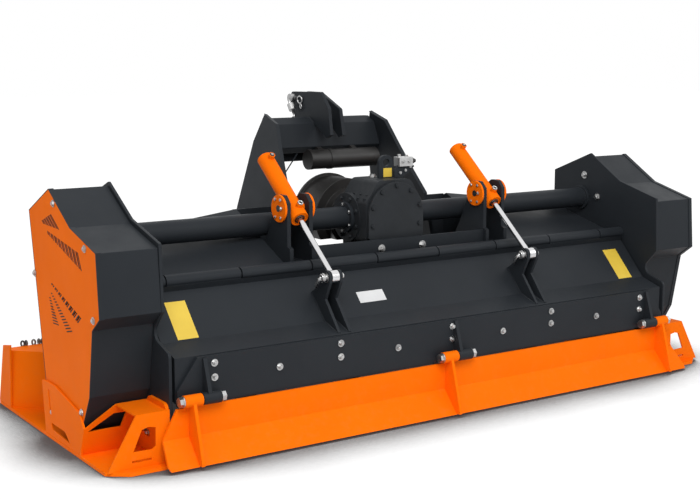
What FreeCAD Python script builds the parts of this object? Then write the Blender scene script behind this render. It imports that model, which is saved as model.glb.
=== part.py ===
import FreeCAD, Part
import math
import os
import Sketcher
from FreeCAD import Placement, Rotation, Vector

# Three-point-hitch stone crusher, 2 m working width.
# Axes: +X to the machine's right, +Y forwards to the tractor, +Z up, floor at z = 0.
# Lengths along Y are taken from the upper rear edge of the side plates; every sub-part is then
# moved back by mid_y, so that the origin lies on the floor under the middle of the machine.

doc = FreeCAD.newDocument("stone_crusher")
sheet = doc.addObject("Spreadsheet::Sheet", "Sizes")


class Size:
    """A number of the model, kept together with the sheet expression that gives it."""

    def __init__(self, value, text):
        self.value = value
        self.text = text

    def __add__(self, other):
        other = as_size(other)
        return Size(self.value + other.value, "(%s + %s)" % (self.text, other.text))

    def __sub__(self, other):
        other = as_size(other)
        return Size(self.value - other.value, "(%s - %s)" % (self.text, other.text))

    def __mul__(self, other):
        other = as_size(other)
        return Size(self.value * other.value, "(%s * %s)" % (self.text, other.text))

    def __truediv__(self, other):
        other = as_size(other)
        return Size(self.value / other.value, "(%s / %s)" % (self.text, other.text))

    def __neg__(self):
        return Size(-self.value, "(-%s)" % self.text)

    def __radd__(self, other):
        return as_size(other) + self

    def __rsub__(self, other):
        return as_size(other) - self

    def __rmul__(self, other):
        return as_size(other) * self


def as_size(number):
    """A plain number as a Size."""
    return number if isinstance(number, Size) else Size(float(number), "%.6f" % number)


def size(alias, value):
    """A driving dimension: one named cell of the sheet."""
    size.row += 1
    sheet.set("A%d" % size.row, alias)
    sheet.set("B%d" % size.row, str(value))
    sheet.setAlias("B%d" % size.row, alias)
    return Size(float(value), "Sizes." + alias)


size.row = 0

# ---------------------------------------------------------------- driving dimensions (mm, degrees)

# body of the machine
half_width = size("half_width", 1012)              # inner face of each side plate
side_thick = size("side_thick", 10)
case_width = size("case_width", 182)
case_wall = size("case_wall", 6)
cover_thick = size("cover_thick", 6)
sheet_thick = size("sheet_thick", 12)
pin_clearance = size("pin_clearance", 0.08)       # radial, at pins and shafts
seat_gap = size("seat_gap", 0.3)                   # between faces that rest on each other

# outline of the side plate and belt case, as y and z
rear_top_z = size("rear_top_z", 637)
knee_y = size("knee_y", 188)
knee_z = size("knee_z", 687)
apex_y = size("apex_y", 348)
apex_z = size("apex_z", 784)
front_y = size("front_y", 548)
front_top_z = size("front_top_z", 705)
case_inset = size("case_inset", 13)                # case edge inside the side plate's edge
rear_lean = size("rear_lean", 10)                  # foot of the upper rear edge, behind its top
notch_top_z = size("notch_top_z", 441)
notch_y = size("notch_y", 48)
notch_z = size("notch_z", 378)
notch_low_y = size("notch_low_y", 32)
notch_low_z = size("notch_low_z", 350)
tail_y = size("tail_y", 50)                        # how far the lower rear edge stands behind the datum
tail_z = size("tail_z", 325)
nose_y = size("nose_y", 800)
nose_z = size("nose_z", 205)
shoulder_z = size("shoulder_z", 330)
case_front_low_y = size("case_front_low_y", 405)
case_foot_z = size("case_foot_z", 70)
case_tail_y = size("case_tail_y", 80)
case_tail_z = size("case_tail_z", 198)
case_heel_y = size("case_heel_y", 134)
case_heel_z = size("case_heel_z", 102)

# rotor
rotor_y = size("rotor_y", 310)
rotor_z = size("rotor_z", 240)
drum_radius = size("drum_radius", 150)
drum_wall = size("drum_wall", 20)
tip_radius = size("tip_radius", 213)
rotor_shaft_radius = size("rotor_shaft_radius", 45)
end_gap = size("end_gap", 12)                      # rotor end to side plate
tooth_rows = size("tooth_rows", 22)
tooth_width = size("tooth_width", 52)
holder_height = size("holder_height", 44)

# rear hood
hinge_y = size("hinge_y", 180)
hinge_z = size("hinge_z", 489)
pin_radius = size("pin_radius", 13)
knuckle_wall = size("knuckle_wall", 8)
knuckle_pitch = size("knuckle_pitch", 259)
knuckle_shift = size("knuckle_shift", -18)         # the hinge line sits a little to the left
knuckle_gap = size("knuckle_gap", 5)
hood_thick = size("hood_thick", 10)
crease_y = size("crease_y", 160)
crease_z = size("crease_z", 462)
ledge_y = size("ledge_y", 41)
ledge_z = size("ledge_z", 335)
fold_y = size("fold_y", 44)                        # outer face of the upright lower plate, behind the datum
fold_z = size("fold_z", 309)
hood_foot_z = size("hood_foot_z", 176)
hood_gap = size("hood_gap", 11)                    # hood end to side plate
wear_thick = size("wear_thick", 12)
wear_top_inset = size("wear_top_inset", 78)        # upper end, inside the side plate
wear_corner_z = size("wear_corner_z", 215)

# flap under the hood
flap_hinge_y = size("flap_hinge_y", 82)
flap_hinge_z = size("flap_hinge_z", 190)
flap_pin_radius = size("flap_pin_radius", 10)
flap_knuckle_wall = size("flap_knuckle_wall", 8)
flap_hinge_inset = size("flap_hinge_inset", 77)    # outer hinges, inside the side plate
sleeve_length = size("sleeve_length", 57)
flap_thick = size("flap_thick", 8)
flap_face_y = size("flap_face_y", 66)              # rear face of the upright upper part
flap_top_z = size("flap_top_z", 166)
flap_crease_z = size("flap_crease_z", 80)
flap_foot_y = size("flap_foot_y", 132)
flap_foot_z = size("flap_foot_z", 8)
flap_top_inset = size("flap_top_inset", 10)        # upper corner, inside the side plate
flap_overlap = size("flap_overlap", 41)            # at the crease, beyond the side plate's inner face
flap_foot_overlap = size("flap_foot_overlap", 51)

# headstock
upright_top_x = size("upright_top_x", 232)
upright_top_z = size("upright_top_z", 955)
upright_tilt = size("upright_tilt", 12)
upright_thick = size("upright_thick", 15)
upright_front_y = size("upright_front_y", 827)
beam_rear_y = size("beam_rear_y", 712)
beam_depth = size("beam_depth", 120)
beam_low_z = size("beam_low_z", 800)
beam_top_z = size("beam_top_z", 936)
beam_web_z = size("beam_web_z", 772)               # lower edge of the beam's front web
link_plate_x = size("link_plate_x", 26)            # inner face of each top-link plate
link_plate_thick = size("link_plate_thick", 14)
top_link_y = size("top_link_y", 864)
top_link_z = size("top_link_z", 1004)
top_link_radius = size("top_link_radius", 15.9)
lower_link_y = size("lower_link_y", 905)
lower_link_z = size("lower_link_z", 394)
lower_link_x = size("lower_link_x", 412)
lower_pin_radius = size("lower_pin_radius", 18.3)
lug_gap = size("lug_gap", 62)
lug_thick = size("lug_thick", 18)

# drive
drive_y = size("drive_y", 393)
drive_z = size("drive_z", 606)
tube_radius = size("tube_radius", 38)
tube_wall = size("tube_wall", 6)
tube_gap = size("tube_gap", 2)                     # drive tube to the beam under it, at least
gearbox_half = size("gearbox_half", 118)
gearbox_rear_y = size("gearbox_rear_y", 272)
gearbox_front_y = size("gearbox_front_y", 520)
gearbox_low_z = size("gearbox_low_z", 520)
gearbox_top_z = size("gearbox_top_z", 740)
pto_z = size("pto_z", 581)
pto_radius = size("pto_radius", 22)
pto_journal_radius = size("pto_journal_radius", 18)
guard_front_y = size("guard_front_y", 700)
guard_step_y = size("guard_step_y", 560)
guard_radius = size("guard_radius", 150)
guard_drum_radius = size("guard_drum_radius", 140)
guard_neck_radius = size("guard_neck_radius", 105)
guard_wall = size("guard_wall", 5)
guard_low_z = size("guard_low_z", 505)             # the guard is open below this height
cover_radius = size("cover_radius", 116)

# hydraulic cylinders
cylinder_x = size("cylinder_x", 412)
trunnion_y = size("trunnion_y", 268)
trunnion_z = size("trunnion_z", 672)
eye_y = size("eye_y", 32)
eye_z = size("eye_z", 477)
barrel_radius = size("barrel_radius", 28)
barrel_back = size("barrel_back", 231)             # trunnion to cap end
barrel_front = size("barrel_front", 52)            # trunnion to head end
rod_radius = size("rod_radius", 10)
rod_inside = size("rod_inside", 130)               # rod beyond the trunnion, inside the barrel
eye_pin_radius = size("eye_pin_radius", 10)
eye_play = size("eye_play", 3.8)                   # round the pin, for the swing of the hood
eye_wall = size("eye_wall", 7.2)
eye_width = size("eye_width", 26)
head_step = size("head_step", 2)                   # barrel head, beyond the barrel's radius
barrel_room = size("barrel_room", 5)               # barrel head to the plates that carry it
bracket_thick = size("bracket_thick", 14)
trunnion_radius = size("trunnion_radius", 15)
disc_rim = size("disc_rim", 30)
disc_thick = size("disc_thick", 8)
rod_plate_thick = size("rod_plate_thick", 10)
eye_side_gap = size("eye_side_gap", 2)             # rod eye to the plates beside it

# skids and front beam
sole_overlap = size("sole_overlap", 8)             # beyond the belt cover
sole_thick = size("sole_thick", 10)
sole_front_y = size("sole_front_y", 856)
sole_rear_y = size("sole_rear_y", 80)
skid_plate = size("skid_plate", 6)
bridge_z = size("bridge_z", 165)
bridge_front_y = size("bridge_front_y", 110)
bridge_rear_y = size("bridge_rear_y", 50)
chain_pitch = size("chain_pitch", 44)
chain_width = size("chain_width", 26)
chain_foot_z = size("chain_foot_z", 30)

# roof of the rotor housing, as y and z
roof_rear_y = size("roof_rear_y", 222)
roof_z = size("roof_z", 492)
roof_top_y = size("roof_top_y", 400)
roof_knee_y = size("roof_knee_y", 575)
roof_knee_z = size("roof_knee_z", 425)
ridge_y = size("ridge_y", 565)
ridge_inner_z = size("ridge_inner_z", 640)
ridge_outer_z = size("ridge_outer_z", 572)
lug_nose = size("lug_nose", 40)
rib_rear_y = size("rib_rear_y", 146)

mid_y = (lower_link_y + lug_nose - rib_rear_y) / 2   # from the rear datum to the middle of the length
side_outer = half_width + side_thick
case_outer = side_outer + case_width
cover_outer = case_outer + cover_thick
sole_outer = cover_outer + sole_overlap
wear_top_half = half_width - wear_top_inset
flap_hinge_x = half_width - flap_hinge_inset
flap_half = half_width + flap_overlap
knuckle_radius = pin_radius + knuckle_wall
flap_knuckle_radius = flap_pin_radius + flap_knuckle_wall
bracket_gap = (barrel_radius + head_step + barrel_room) * 2
rod_plate_gap = eye_width + eye_side_gap * 2

doc.recompute()


# ---------------------------------------------------------------- tools of the model

def bind(thing, prop, value):
    """Tie one property of an object to the sheet."""
    thing.setExpression(prop, as_size(value).text)


def place(thing, x=0, y=0, z=0):
    """Put an object at x, y, z, each tied to the sheet."""
    for letter, value in (("x", x), ("y", y), ("z", z)):
        bind(thing, "Placement.Base." + letter, value)


def new_body(name):
    return doc.addObject("PartDesign::Body", name)


def origin_plane(body, role):
    return [item for item in body.Origin.OriginFeatures if item.Role == role][0]


def new_sketch(body, plane):
    """A sketch on one of the body's own origin planes: XY, XZ or YZ."""
    sketch = body.newObject("Sketcher::SketchObject", body.Name + "_sketch")
    sketch.AttachmentSupport = [(origin_plane(body, plane + "_Plane"), "")]
    sketch.MapMode = "FlatFace"
    return sketch


def point_rules(index, end, x, y):
    """Constraints that hold one point of a sketch at x, y from its origin, each with its size."""
    return [(Sketcher.Constraint(kind, -1, 1, index, end, as_size(value).value), as_size(value))
            for kind, value in (("DistanceX", x), ("DistanceY", y))]


def hold(sketch, rules):
    """Add constraints in one go and tie each to its size."""
    first = sketch.ConstraintCount
    sketch.addConstraint([rule for rule, value in rules])
    for row, (rule, value) in enumerate(rules, first):
        if value is not None:
            sketch.setExpression("Constraints[%d]" % row, value.text)


def draw_loop(sketch, corners):
    """A closed outline of straight lines through the corners."""
    first = sketch.GeometryCount
    points = [Vector(as_size(x).value, as_size(y).value, 0) for x, y in corners]
    count = len(points)
    sketch.addGeometry([Part.LineSegment(points[i], points[(i + 1) % count]) for i in range(count)], False)
    rules = []
    for i in range(count):
        following = first + (i + 1) % count
        rules.append((Sketcher.Constraint("Coincident", first + i, 2, following, 1), None))
        rules += point_rules(first + i, 1, *corners[i])
    hold(sketch, rules)


def draw_circle(sketch, x, y, radius):
    """A circle at x, y."""
    centre = Vector(as_size(x).value, as_size(y).value, 0)
    index = sketch.addGeometry(Part.Circle(centre, Vector(0, 0, 1), as_size(radius).value), False)
    rule = Sketcher.Constraint("Radius", index, as_size(radius).value)
    hold(sketch, point_rules(index, 3, x, y) + [(rule, as_size(radius))])


def pad(body, sketch, length, midplane=False):
    feature = body.newObject("PartDesign::Pad", body.Name + "_pad")
    feature.Profile = sketch
    bind(feature, "Length", length)
    feature.Midplane = midplane
    return feature


def round_corners(body, plane, corners, radius):
    """Round the edges of a pad that run square to its sketch through the given corners."""
    doc.recompute()
    base = body.Tip
    picked = []
    for number, edge in enumerate(base.Shape.Edges, 1):
        if len(edge.Vertexes) != 2:
            continue
        start, end = edge.Vertexes[0].Point, edge.Vertexes[1].Point
        flat = [flat_point(plane, point) for point in (start, end)]
        if abs(flat[0][0] - flat[1][0]) + abs(flat[0][1] - flat[1][1]) > 0.01:
            continue
        for x, y in corners:
            if abs(flat[0][0] - as_size(x).value) + abs(flat[0][1] - as_size(y).value) < 0.01:
                picked.append("Edge%d" % number)
    feature = body.newObject("PartDesign::Fillet", body.Name + "_round")
    feature.Base = (base, picked)
    bind(feature, "Radius", radius)
    return feature


def flat_point(plane, point):
    return {"YZ": (point.y, point.z), "XZ": (point.x, point.z), "XY": (point.x, point.y)}[plane]


def plate(name, plane, outline, thickness, start, cutouts=(), circles=(), rounds=()):
    """A flat plate. Its outline lies in the plane; it runs from start over its thickness,
    along +X, +Y or +Z. Rounds are pairs of a corner list and a radius."""
    body = new_body(name)
    sketch = new_sketch(body, plane)
    draw_loop(sketch, outline)
    for loop in cutouts:
        draw_loop(sketch, loop)
    for x, y, radius in circles:
        draw_circle(sketch, x, y, radius)
    pad(body, sketch, thickness)
    for corners, radius in rounds:
        round_corners(body, plane, corners, radius)
    if plane == "YZ":
        place(body, x=start)
    elif plane == "XZ":
        place(body, y=as_size(start) + thickness)
    else:
        place(body, z=start)
    return body


TURN = {"X": Rotation(Vector(0, 1, 0), 90), "Y": Rotation(Vector(1, 0, 0), -90), "Z": Rotation()}


def cylinder(name, radius, length, x, y, z, axis):
    """A cylinder that starts at x, y, z and runs along +axis."""
    thing = doc.addObject("Part::Cylinder", name)
    bind(thing, "Radius", radius)
    bind(thing, "Height", length)
    thing.Placement = Placement(Vector(), TURN[axis])
    place(thing, x, y, z)
    return thing


def box(name, x0, x1, y0, y1, z0, z1):
    thing = doc.addObject("Part::Box", name)
    bind(thing, "Length", as_size(x1) - x0)
    bind(thing, "Width", as_size(y1) - y0)
    bind(thing, "Height", as_size(z1) - z0)
    place(thing, x0, y0, z0)
    return thing


def turned(name, plane, outline, x, y, z):
    """A turned solid. Its outline gives pairs of a place along the axis and a radius; the axis
    runs along +X for plane XZ and along +Y for plane YZ."""
    body = new_body(name)
    sketch = new_sketch(body, plane)
    draw_loop(sketch, outline)
    turn = body.newObject("PartDesign::Revolution", name + "_turn")
    turn.Profile = sketch
    turn.ReferenceAxis = (sketch, ["H_Axis"])
    turn.Angle = 360
    place(body, x, y, z)
    return body


def join(name, pieces):
    thing = doc.addObject("Part::MultiFuse", name)
    thing.Shapes = pieces
    return thing


def gather(name, pieces):
    """Separate solids of one sub-part."""
    thing = doc.addObject("Part::Compound", name)
    thing.Links = pieces
    return thing


def cut(name, base, tool):
    thing = doc.addObject("Part::Cut", name)
    thing.Base = base
    thing.Tool = tool
    return thing


def mirror(name, source):
    """The same piece on the other side of the machine's middle plane."""
    thing = doc.addObject("Part::Mirroring", name)
    thing.Source = source
    thing.Base = Vector(0, 0, 0)
    thing.Normal = Vector(1, 0, 0)
    return thing


sub_parts = []


def finish(name, thing):
    """Name a sub-part and move it from the rear datum to the machine's own origin."""
    thing.Label = name
    if "Placement.Base.y" in [entry[0].lstrip(".") for entry in thing.ExpressionEngine]:
        text = [entry[1] for entry in thing.ExpressionEngine if entry[0].endswith("Base.y")][0]
        thing.setExpression("Placement.Base.y", "%s - %s" % (text, mid_y.text))
    else:
        bind(thing, "Placement.Base.y", -mid_y)
    sub_parts.append(thing)
    return thing


def finish_pair(name, thing):
    """A left piece and its mirror image on the right."""
    left = finish(name + "_left", thing)
    right = mirror(name + "_right_mirror", left)
    right.Label = name + "_right"
    sub_parts.append(right)


# ---------------------------------------------------------------- side plates and belt cases

bearing_radius = rotor_shaft_radius + 40

plate_outline = [
    (0, rear_top_z), (-rear_lean, notch_top_z), (notch_y, notch_z), (notch_low_y, notch_low_z),
    (-tail_y, tail_z), (-tail_y, sole_thick), (nose_y, sole_thick), (nose_y, nose_z),
    (front_y, shoulder_z), (front_y, front_top_z), (apex_y, apex_z), (knee_y, knee_z)]
side_wall = plate(
    "side_wall", "YZ", plate_outline, side_thick, -side_outer,
    circles=[(rotor_y, rotor_z, rotor_shaft_radius + pin_clearance)],
    rounds=[([(notch_y, notch_z)], 26), ([(notch_low_y, notch_low_z)], 30),
            ([(-tail_y, tail_z)], 18), ([(nose_y, nose_z), (front_y, shoulder_z)], 40)])
boss_solid = cylinder("bearing_boss_solid", bearing_radius, 60, -(side_outer + 60), rotor_y, rotor_z, "X")
boss_hole = cylinder("bearing_boss_hole", rotor_shaft_radius + pin_clearance, 62, -(side_outer + 61),
                     rotor_y, rotor_z, "X")
finish_pair("side_plate", join("side_plate", [side_wall, cut("bearing_boss", boss_solid, boss_hole)]))

case_outline = [
    (4, rear_top_z - case_inset), (-rear_lean, notch_top_z), (notch_y - 4, notch_z + 22),
    (case_tail_y, case_tail_z), (case_heel_y, case_heel_z), (case_heel_y + 30, case_foot_z),
    (case_front_low_y, case_foot_z), (front_y - 30, front_top_z - case_inset),
    (apex_y, apex_z - case_inset), (knee_y, knee_z - case_inset)]
case_body = plate("belt_case", "YZ", case_outline, case_width, -case_outer)
doc.recompute()
case_pad = case_body.Tip
open_face = [i for i, face in enumerate(case_pad.Shape.Faces, 1)
             if abs(face.CenterOfMass.x) < 0.01 and abs(face.normalAt(0, 0).x) > 0.9][0]
shell = case_body.newObject("PartDesign::Thickness", "belt_case_shell")
shell.Base = (case_pad, ["Face%d" % open_face])
bind(shell, "Value", case_wall)
shell.Reversed = True
boss_room = cylinder("boss_room", bearing_radius + 2, case_wall + 4, -(side_outer + case_wall + 2),
                     rotor_y, rotor_z, "X")
finish_pair("belt_case", cut("belt_case_open", case_body, boss_room))


def ladder(tip, far_high, far_low, count, first=0.2, share=0.42):
    """Short slots, one after another, across a wedge that widens from its tip to two far points."""
    loops = []
    step = (1 - first) / count
    for i in range(count):
        near = first + step * i
        far = near + step * share
        loops.append([(tip[0] + (end[0] - tip[0]) * reach, tip[1] + (end[1] - tip[1]) * reach)
                      for end, reach in ((far_high, near), (far_high, far), (far_low, far), (far_low, near))])
    return loops


vents = ladder((432, 664), (329, 701), (262, 660), 5)
vents += ladder((430, 655), (123, 609), (97, 558), 9)
vents += ladder((404, 508), (140, 400), (113, 420), 8)
vents += ladder((376, 463), (184, 372), (212, 385), 6)
vents += ladder((384, 455), (304, 370), (340, 389), 3)
finish_pair("belt_cover", plate("belt_cover", "YZ", case_outline, cover_thick, -cover_outer,
                                cutouts=vents))

# ---------------------------------------------------------------- rotor housing

span = half_width * 2


def roof_point(share):
    """A point of the roof's front slope, from its knee (0) down to the nose (1)."""
    return (roof_knee_y + (nose_y - roof_knee_y) * share,
            roof_knee_z + (nose_z + 12 - roof_knee_z) * share)


roof_line = [(roof_rear_y - 10, roof_z - 14), (roof_rear_y, roof_z), (roof_top_y, roof_z),
             roof_point(0), roof_point(1)]
roof_under = [(nose_y, nose_z - 5), (roof_knee_y - 7, roof_knee_z - sheet_thick),
              (roof_top_y - 3, roof_z - sheet_thick), (roof_rear_y + 8, roof_z - sheet_thick),
              (roof_rear_y - 2, roof_z - 24)]
housing_sheet = plate("housing_sheet", "YZ", roof_line + roof_under, span, -half_width)


def knuckles(name, first, count):
    """Every second knuckle of the hood's hinge line, from knuckle number first."""
    tubes = []
    for i in range(count):
        centre = knuckle_shift + knuckle_pitch * (first + 2 * i)
        left = centre - knuckle_pitch / 2 + knuckle_gap / 2
        right = centre + knuckle_pitch / 2 - knuckle_gap / 2
        if first == -4 and i == 0:
            left = -half_width
        if first == -4 and i == count - 1:
            right = half_width
        tubes.append((left, right))
    return tubes


def bore(name, solid):
    """Run the hood's hinge rod hole through a solid."""
    hole = cylinder(name + "_bore", pin_radius + pin_clearance, span + 4, -(half_width + 2),
                    hinge_y, hinge_z, "X")
    return cut(name, solid, hole)


fixed = []
for number, (left, right) in enumerate(knuckles("fixed", -4, 5)):
    fixed.append(cylinder("fixed_knuckle_%d" % number, knuckle_radius, right - left, left,
                          hinge_y, hinge_z, "X"))
    fixed.append(plate("fixed_web_%d" % number, "YZ",
                       [(hinge_y + 10, hinge_z - 8), (hinge_y + 10, hinge_z - 17),
                        (roof_rear_y - 4, roof_z - 22), (roof_rear_y - 8, roof_z - 13)],
                       right - left, left))


def side_beam(name):
    """The three-cornered box beam on the roof, lower towards the side plate."""
    body = new_body(name)
    sections = []
    for label, x, top in (("inner", beam_inner_x, ridge_inner_z), ("outer", half_width, ridge_outer_z)):
        sketch = new_sketch(body, "YZ")
        sketch.Label = name + "_" + label
        bind(sketch, "AttachmentOffset.Base.z", -x)
        draw_loop(sketch, [(roof_rear_y + 8, roof_z - 5), (ridge_y, top), (ridge_y + 24, top - 10),
                           (ridge_y + 36, roof_knee_z - 30), (roof_knee_y - 2, roof_knee_z - 5),
                           (roof_top_y, roof_z - 5)])
        sections.append(sketch)
    doc.recompute()
    loft = body.newObject("PartDesign::AdditiveLoft", name + "_loft")
    loft.Profile = sections[0]
    loft.Sections = [sections[1]]
    loft.Ruled = True
    return body


beam_inner_x = cylinder_x + bracket_gap / 2 + bracket_thick
tube_room = cylinder("tube_room", tube_radius + tube_gap, half_width, -half_width, drive_y, drive_z, "X")
left_beam = cut("side_beam_clear", side_beam("side_beam"), tube_room)
right_beam = mirror("side_beam_right", left_beam)
finish("rotor_housing", bore("rotor_housing", join(
    "housing_weldment", [housing_sheet, left_beam, right_beam] + fixed)))

# crushing bar under the roof, just clear of the teeth
bar_top = [(roof_knee_y - 7, roof_knee_z - sheet_thick),
           (roof_knee_y - 7 - (roof_knee_y - roof_top_y - 4) * 0.22,
            roof_knee_z - sheet_thick + (roof_z - roof_knee_z) * 0.22)]
finish("crushing_bar", plate("crushing_bar", "YZ",
                             bar_top + [(bar_top[1][0] - 24, bar_top[1][1] - 58),
                                        (bar_top[1][0] - 4, bar_top[1][1] - 70)],
                             span - 20, -(half_width - 10)))

# ---------------------------------------------------------------- rotor

rotor_half = half_width - end_gap
drum = cylinder("drum", drum_radius, rotor_half * 2, -rotor_half, rotor_y, rotor_z, "X")
axle_half = side_outer + 52
axle = cylinder("axle", rotor_shaft_radius, axle_half * 2, -axle_half, rotor_y, rotor_z, "X")
tooth = plate("tooth", "YZ",
              [(-38, drum_radius - 12), (-30, drum_radius + holder_height - 6),
               (-6, drum_radius + holder_height), (-4, tip_radius - 4), (20, tip_radius - 8),
               (26, drum_radius + 22), (44, drum_radius - 12)],
              tooth_width, 0)
teeth = []
tooth_pitch = (rotor_half * 2 - tooth_width - 8) / (tooth_rows - 1)
for row in range(int(tooth_rows.value)):
    for start in range(2):
        link = doc.addObject("App::Link", "tooth_%d_%d" % (row, start))
        link.LinkedObject = tooth
        link.LinkTransform = False
        link.Placement = Placement(Vector(), Rotation(Vector(1, 0, 0), 1))
        bind(link, "Placement.Rotation.Angle", as_size(180 * start + 41 * row))
        place(link, tooth_pitch * row - rotor_half + 4, rotor_y, rotor_z)
        teeth.append(link)
finish("rotor", join("rotor", [drum, axle] + teeth))

# ---------------------------------------------------------------- rear hood

finish("hinge_rod", cylinder("hinge_rod", pin_radius, span - 4, -(half_width - 2), hinge_y, hinge_z, "X"))

hood_half = half_width - hood_gap
skin_run = crease_y - ledge_y
skin = plate("hood_skin", "YZ",
             [(crease_y, crease_z), (ledge_y, ledge_z), (-fold_y, fold_z), (-fold_y, hood_foot_z),
              (-fold_y + hood_thick, hood_foot_z), (-fold_y + hood_thick, fold_z - 7),
              (ledge_y + 4, ledge_z - 9), (crease_y + 7, crease_z - 7)],
             hood_half * 2, -hood_half)
lip_z = hinge_z - 9
lip = plate("hood_lip", "YZ",
            [(crease_y, crease_z), (hinge_y - knuckle_radius - 9.5, lip_z),
             (hinge_y - knuckle_radius - 3.5, lip_z - 2), (crease_y + 7, crease_z - 7)],
            hood_half * 2, -hood_half)
hood_pieces = [skin, lip]
for number, (left, right) in enumerate(knuckles("moving", -3, 4)):
    hood_pieces.append(cylinder("moving_knuckle_%d" % number, knuckle_radius, right - left, left,
                                hinge_y, hinge_z, "X"))
    hood_pieces.append(plate("hood_web_%d" % number, "YZ",
                             [(crease_y, crease_z), (crease_y + 7, crease_z - 7),
                              (hinge_y + 8, hinge_z - 18), (hinge_y - 18, hinge_z + 8)],
                             right - left, left))
for label, left in (("left", -hood_half), ("right", hood_half - hood_thick)):
    hood_pieces.append(plate("hood_cheek_" + label, "YZ",
                             [(crease_y + 2, crease_z - 5), (ledge_y + 2, ledge_z - 5),
                              (-fold_y + 5, fold_z - 4), (-fold_y + 5, hood_foot_z + 2),
                              (-fold_y + 40, hood_foot_z + 2), (-fold_y + 70, fold_z - 60),
                              (ledge_y + 40, ledge_z - 25), (crease_y - 6, crease_z - 45)],
                             hood_thick, left))
head_corners = [(eye_y - 22, eye_z + 22), (eye_y + 22, eye_z + 22)]
rod_plate_outline = head_corners + [
    (eye_y + 22, eye_z - 10), (ledge_y + 62, ledge_z + 92), (ledge_y + 80, ledge_z + 82),
    (ledge_y, ledge_z - 3), (-33, fold_z + 1), (-37, fold_z + 4), (eye_y + 8, eye_z - 71),
    (eye_y - 20, eye_z - 15)]
for side, sign in (("left", -1), ("right", 1)):
    for place_name, inner in (("inner", 1), ("outer", -1)):
        middle = cylinder_x * sign + (rod_plate_gap + rod_plate_thick) * (0.5 * inner)
        hood_pieces.append(plate("rod_plate_%s_%s" % (side, place_name), "YZ", rod_plate_outline,
                                 rod_plate_thick, middle - rod_plate_thick / 2,
                                 circles=[(eye_y, eye_z, eye_pin_radius + pin_clearance)],
                                 rounds=[(head_corners, 21)]))
finish("rear_hood", bore("rear_hood", join("hood_weldment", hood_pieces)))
rear_face = fold_y + wear_thick
wear_pieces = [plate(
    "wear_sheet", "XZ",
    [(-wear_top_half, fold_z - 3), (-(hood_half - 1), wear_corner_z), (-(hood_half - 1), hood_foot_z - 4),
     (hood_half - 1, hood_foot_z - 4), (hood_half - 1, wear_corner_z), (wear_top_half, fold_z - 3)],
    wear_thick, -rear_face)]
for label, left, right in (("left", -(flap_hinge_x - 1), -(flap_hinge_x - 1 - sleeve_length)),
                           ("centre", 1, 1 + sleeve_length),
                           ("right", flap_hinge_x - 1 - sleeve_length, flap_hinge_x - 1)):
    left = as_size(left)
    wear_pieces.append(cylinder("hood_sleeve_" + label, flap_knuckle_radius, as_size(right) - left, left,
                                -flap_hinge_y, flap_hinge_z, "X"))
for label, x in (("left", -(flap_hinge_x - 16)), ("centre", as_size(6)), ("right", flap_hinge_x - 28)):
    wear_pieces.append(plate("hood_gusset_" + label, "YZ",
                             [(-rear_face, fold_z - 7), (-rear_face - 6, fold_z - 7),
                              (-flap_hinge_y - 10, flap_hinge_z + 22), (-flap_hinge_y - 14, flap_hinge_z),
                              (-flap_hinge_y, flap_hinge_z - 12), (-rear_face, flap_hinge_z - 12)],
                             12, x))
wear_bores = cylinder("wear_bores", flap_pin_radius + pin_clearance, span, -half_width,
                      -flap_hinge_y, flap_hinge_z, "X")
finish("wear_plate", cut("wear_plate", join("wear_weldment", wear_pieces), wear_bores))
rod_pin_half = rod_plate_gap / 2 + rod_plate_thick + 12
rod_pins = [cylinder("rod_pin_" + side, eye_pin_radius, rod_pin_half * 2, cylinder_x * sign - rod_pin_half,
                     eye_y, eye_z, "X") for side, sign in (("left", -1), ("right", 1))]
finish("rod_pins", gather("rod_pins", rod_pins))

# ---------------------------------------------------------------- flap

flap_profile = plate("flap_profile", "YZ",
                     [(-flap_face_y, flap_top_z), (-flap_face_y, flap_crease_z),
                      (-flap_foot_y, flap_foot_z), (-flap_foot_y + flap_thick + 2, flap_foot_z - 1),
                      (-flap_face_y + flap_thick, flap_crease_z - 2),
                      (-flap_face_y + flap_thick, flap_top_z)],
                     flap_half * 3, -flap_half * 1.5)
flap_foot_half = half_width + flap_foot_overlap
flap_corners = [(half_width - flap_top_inset, flap_top_z + 10), (flap_half, flap_crease_z),
                (flap_foot_half, flap_foot_z + 10), (flap_foot_half - 8, 0)]
flap_front = plate("flap_front", "XZ",
                   [(-x, z) for x, z in flap_corners] + [(x, z) for x, z in reversed(flap_corners)],
                   140, -(flap_foot_y + 20))
flap_sheet = doc.addObject("Part::MultiCommon", "flap_sheet")
flap_sheet.Shapes = [flap_profile, flap_front]
flap_pieces = [flap_sheet]
for label, left in (("left", -(flap_hinge_x + 2 + sleeve_length)), ("centre", -(sleeve_length + 2)),
                    ("right", flap_hinge_x + 2)):
    flap_pieces.append(cylinder("flap_sleeve_" + label, flap_knuckle_radius, sleeve_length, left,
                                -flap_hinge_y, flap_hinge_z, "X"))
    flap_pieces.append(plate("flap_rib_" + label, "YZ",
                             [(-flap_hinge_y, flap_hinge_z - 12), (-flap_hinge_y - 16, flap_hinge_z - 4),
                              (-rib_rear_y, flap_foot_z + 12), (-rib_rear_y, flap_foot_z + 3),
                              (-flap_foot_y + 5, flap_foot_z + 2), (-flap_face_y + 4, flap_crease_z - 1),
                              (-flap_face_y + 4, flap_top_z)],
                             10, left + sleeve_length / 2 - 5))
flap_bores = cylinder("flap_bores", flap_pin_radius + pin_clearance, span + 20, -(half_width + 10),
                      -flap_hinge_y, flap_hinge_z, "X")
finish("rear_flap", cut("rear_flap", join("flap_weldment", flap_pieces), flap_bores))
flap_pins = []
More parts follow.
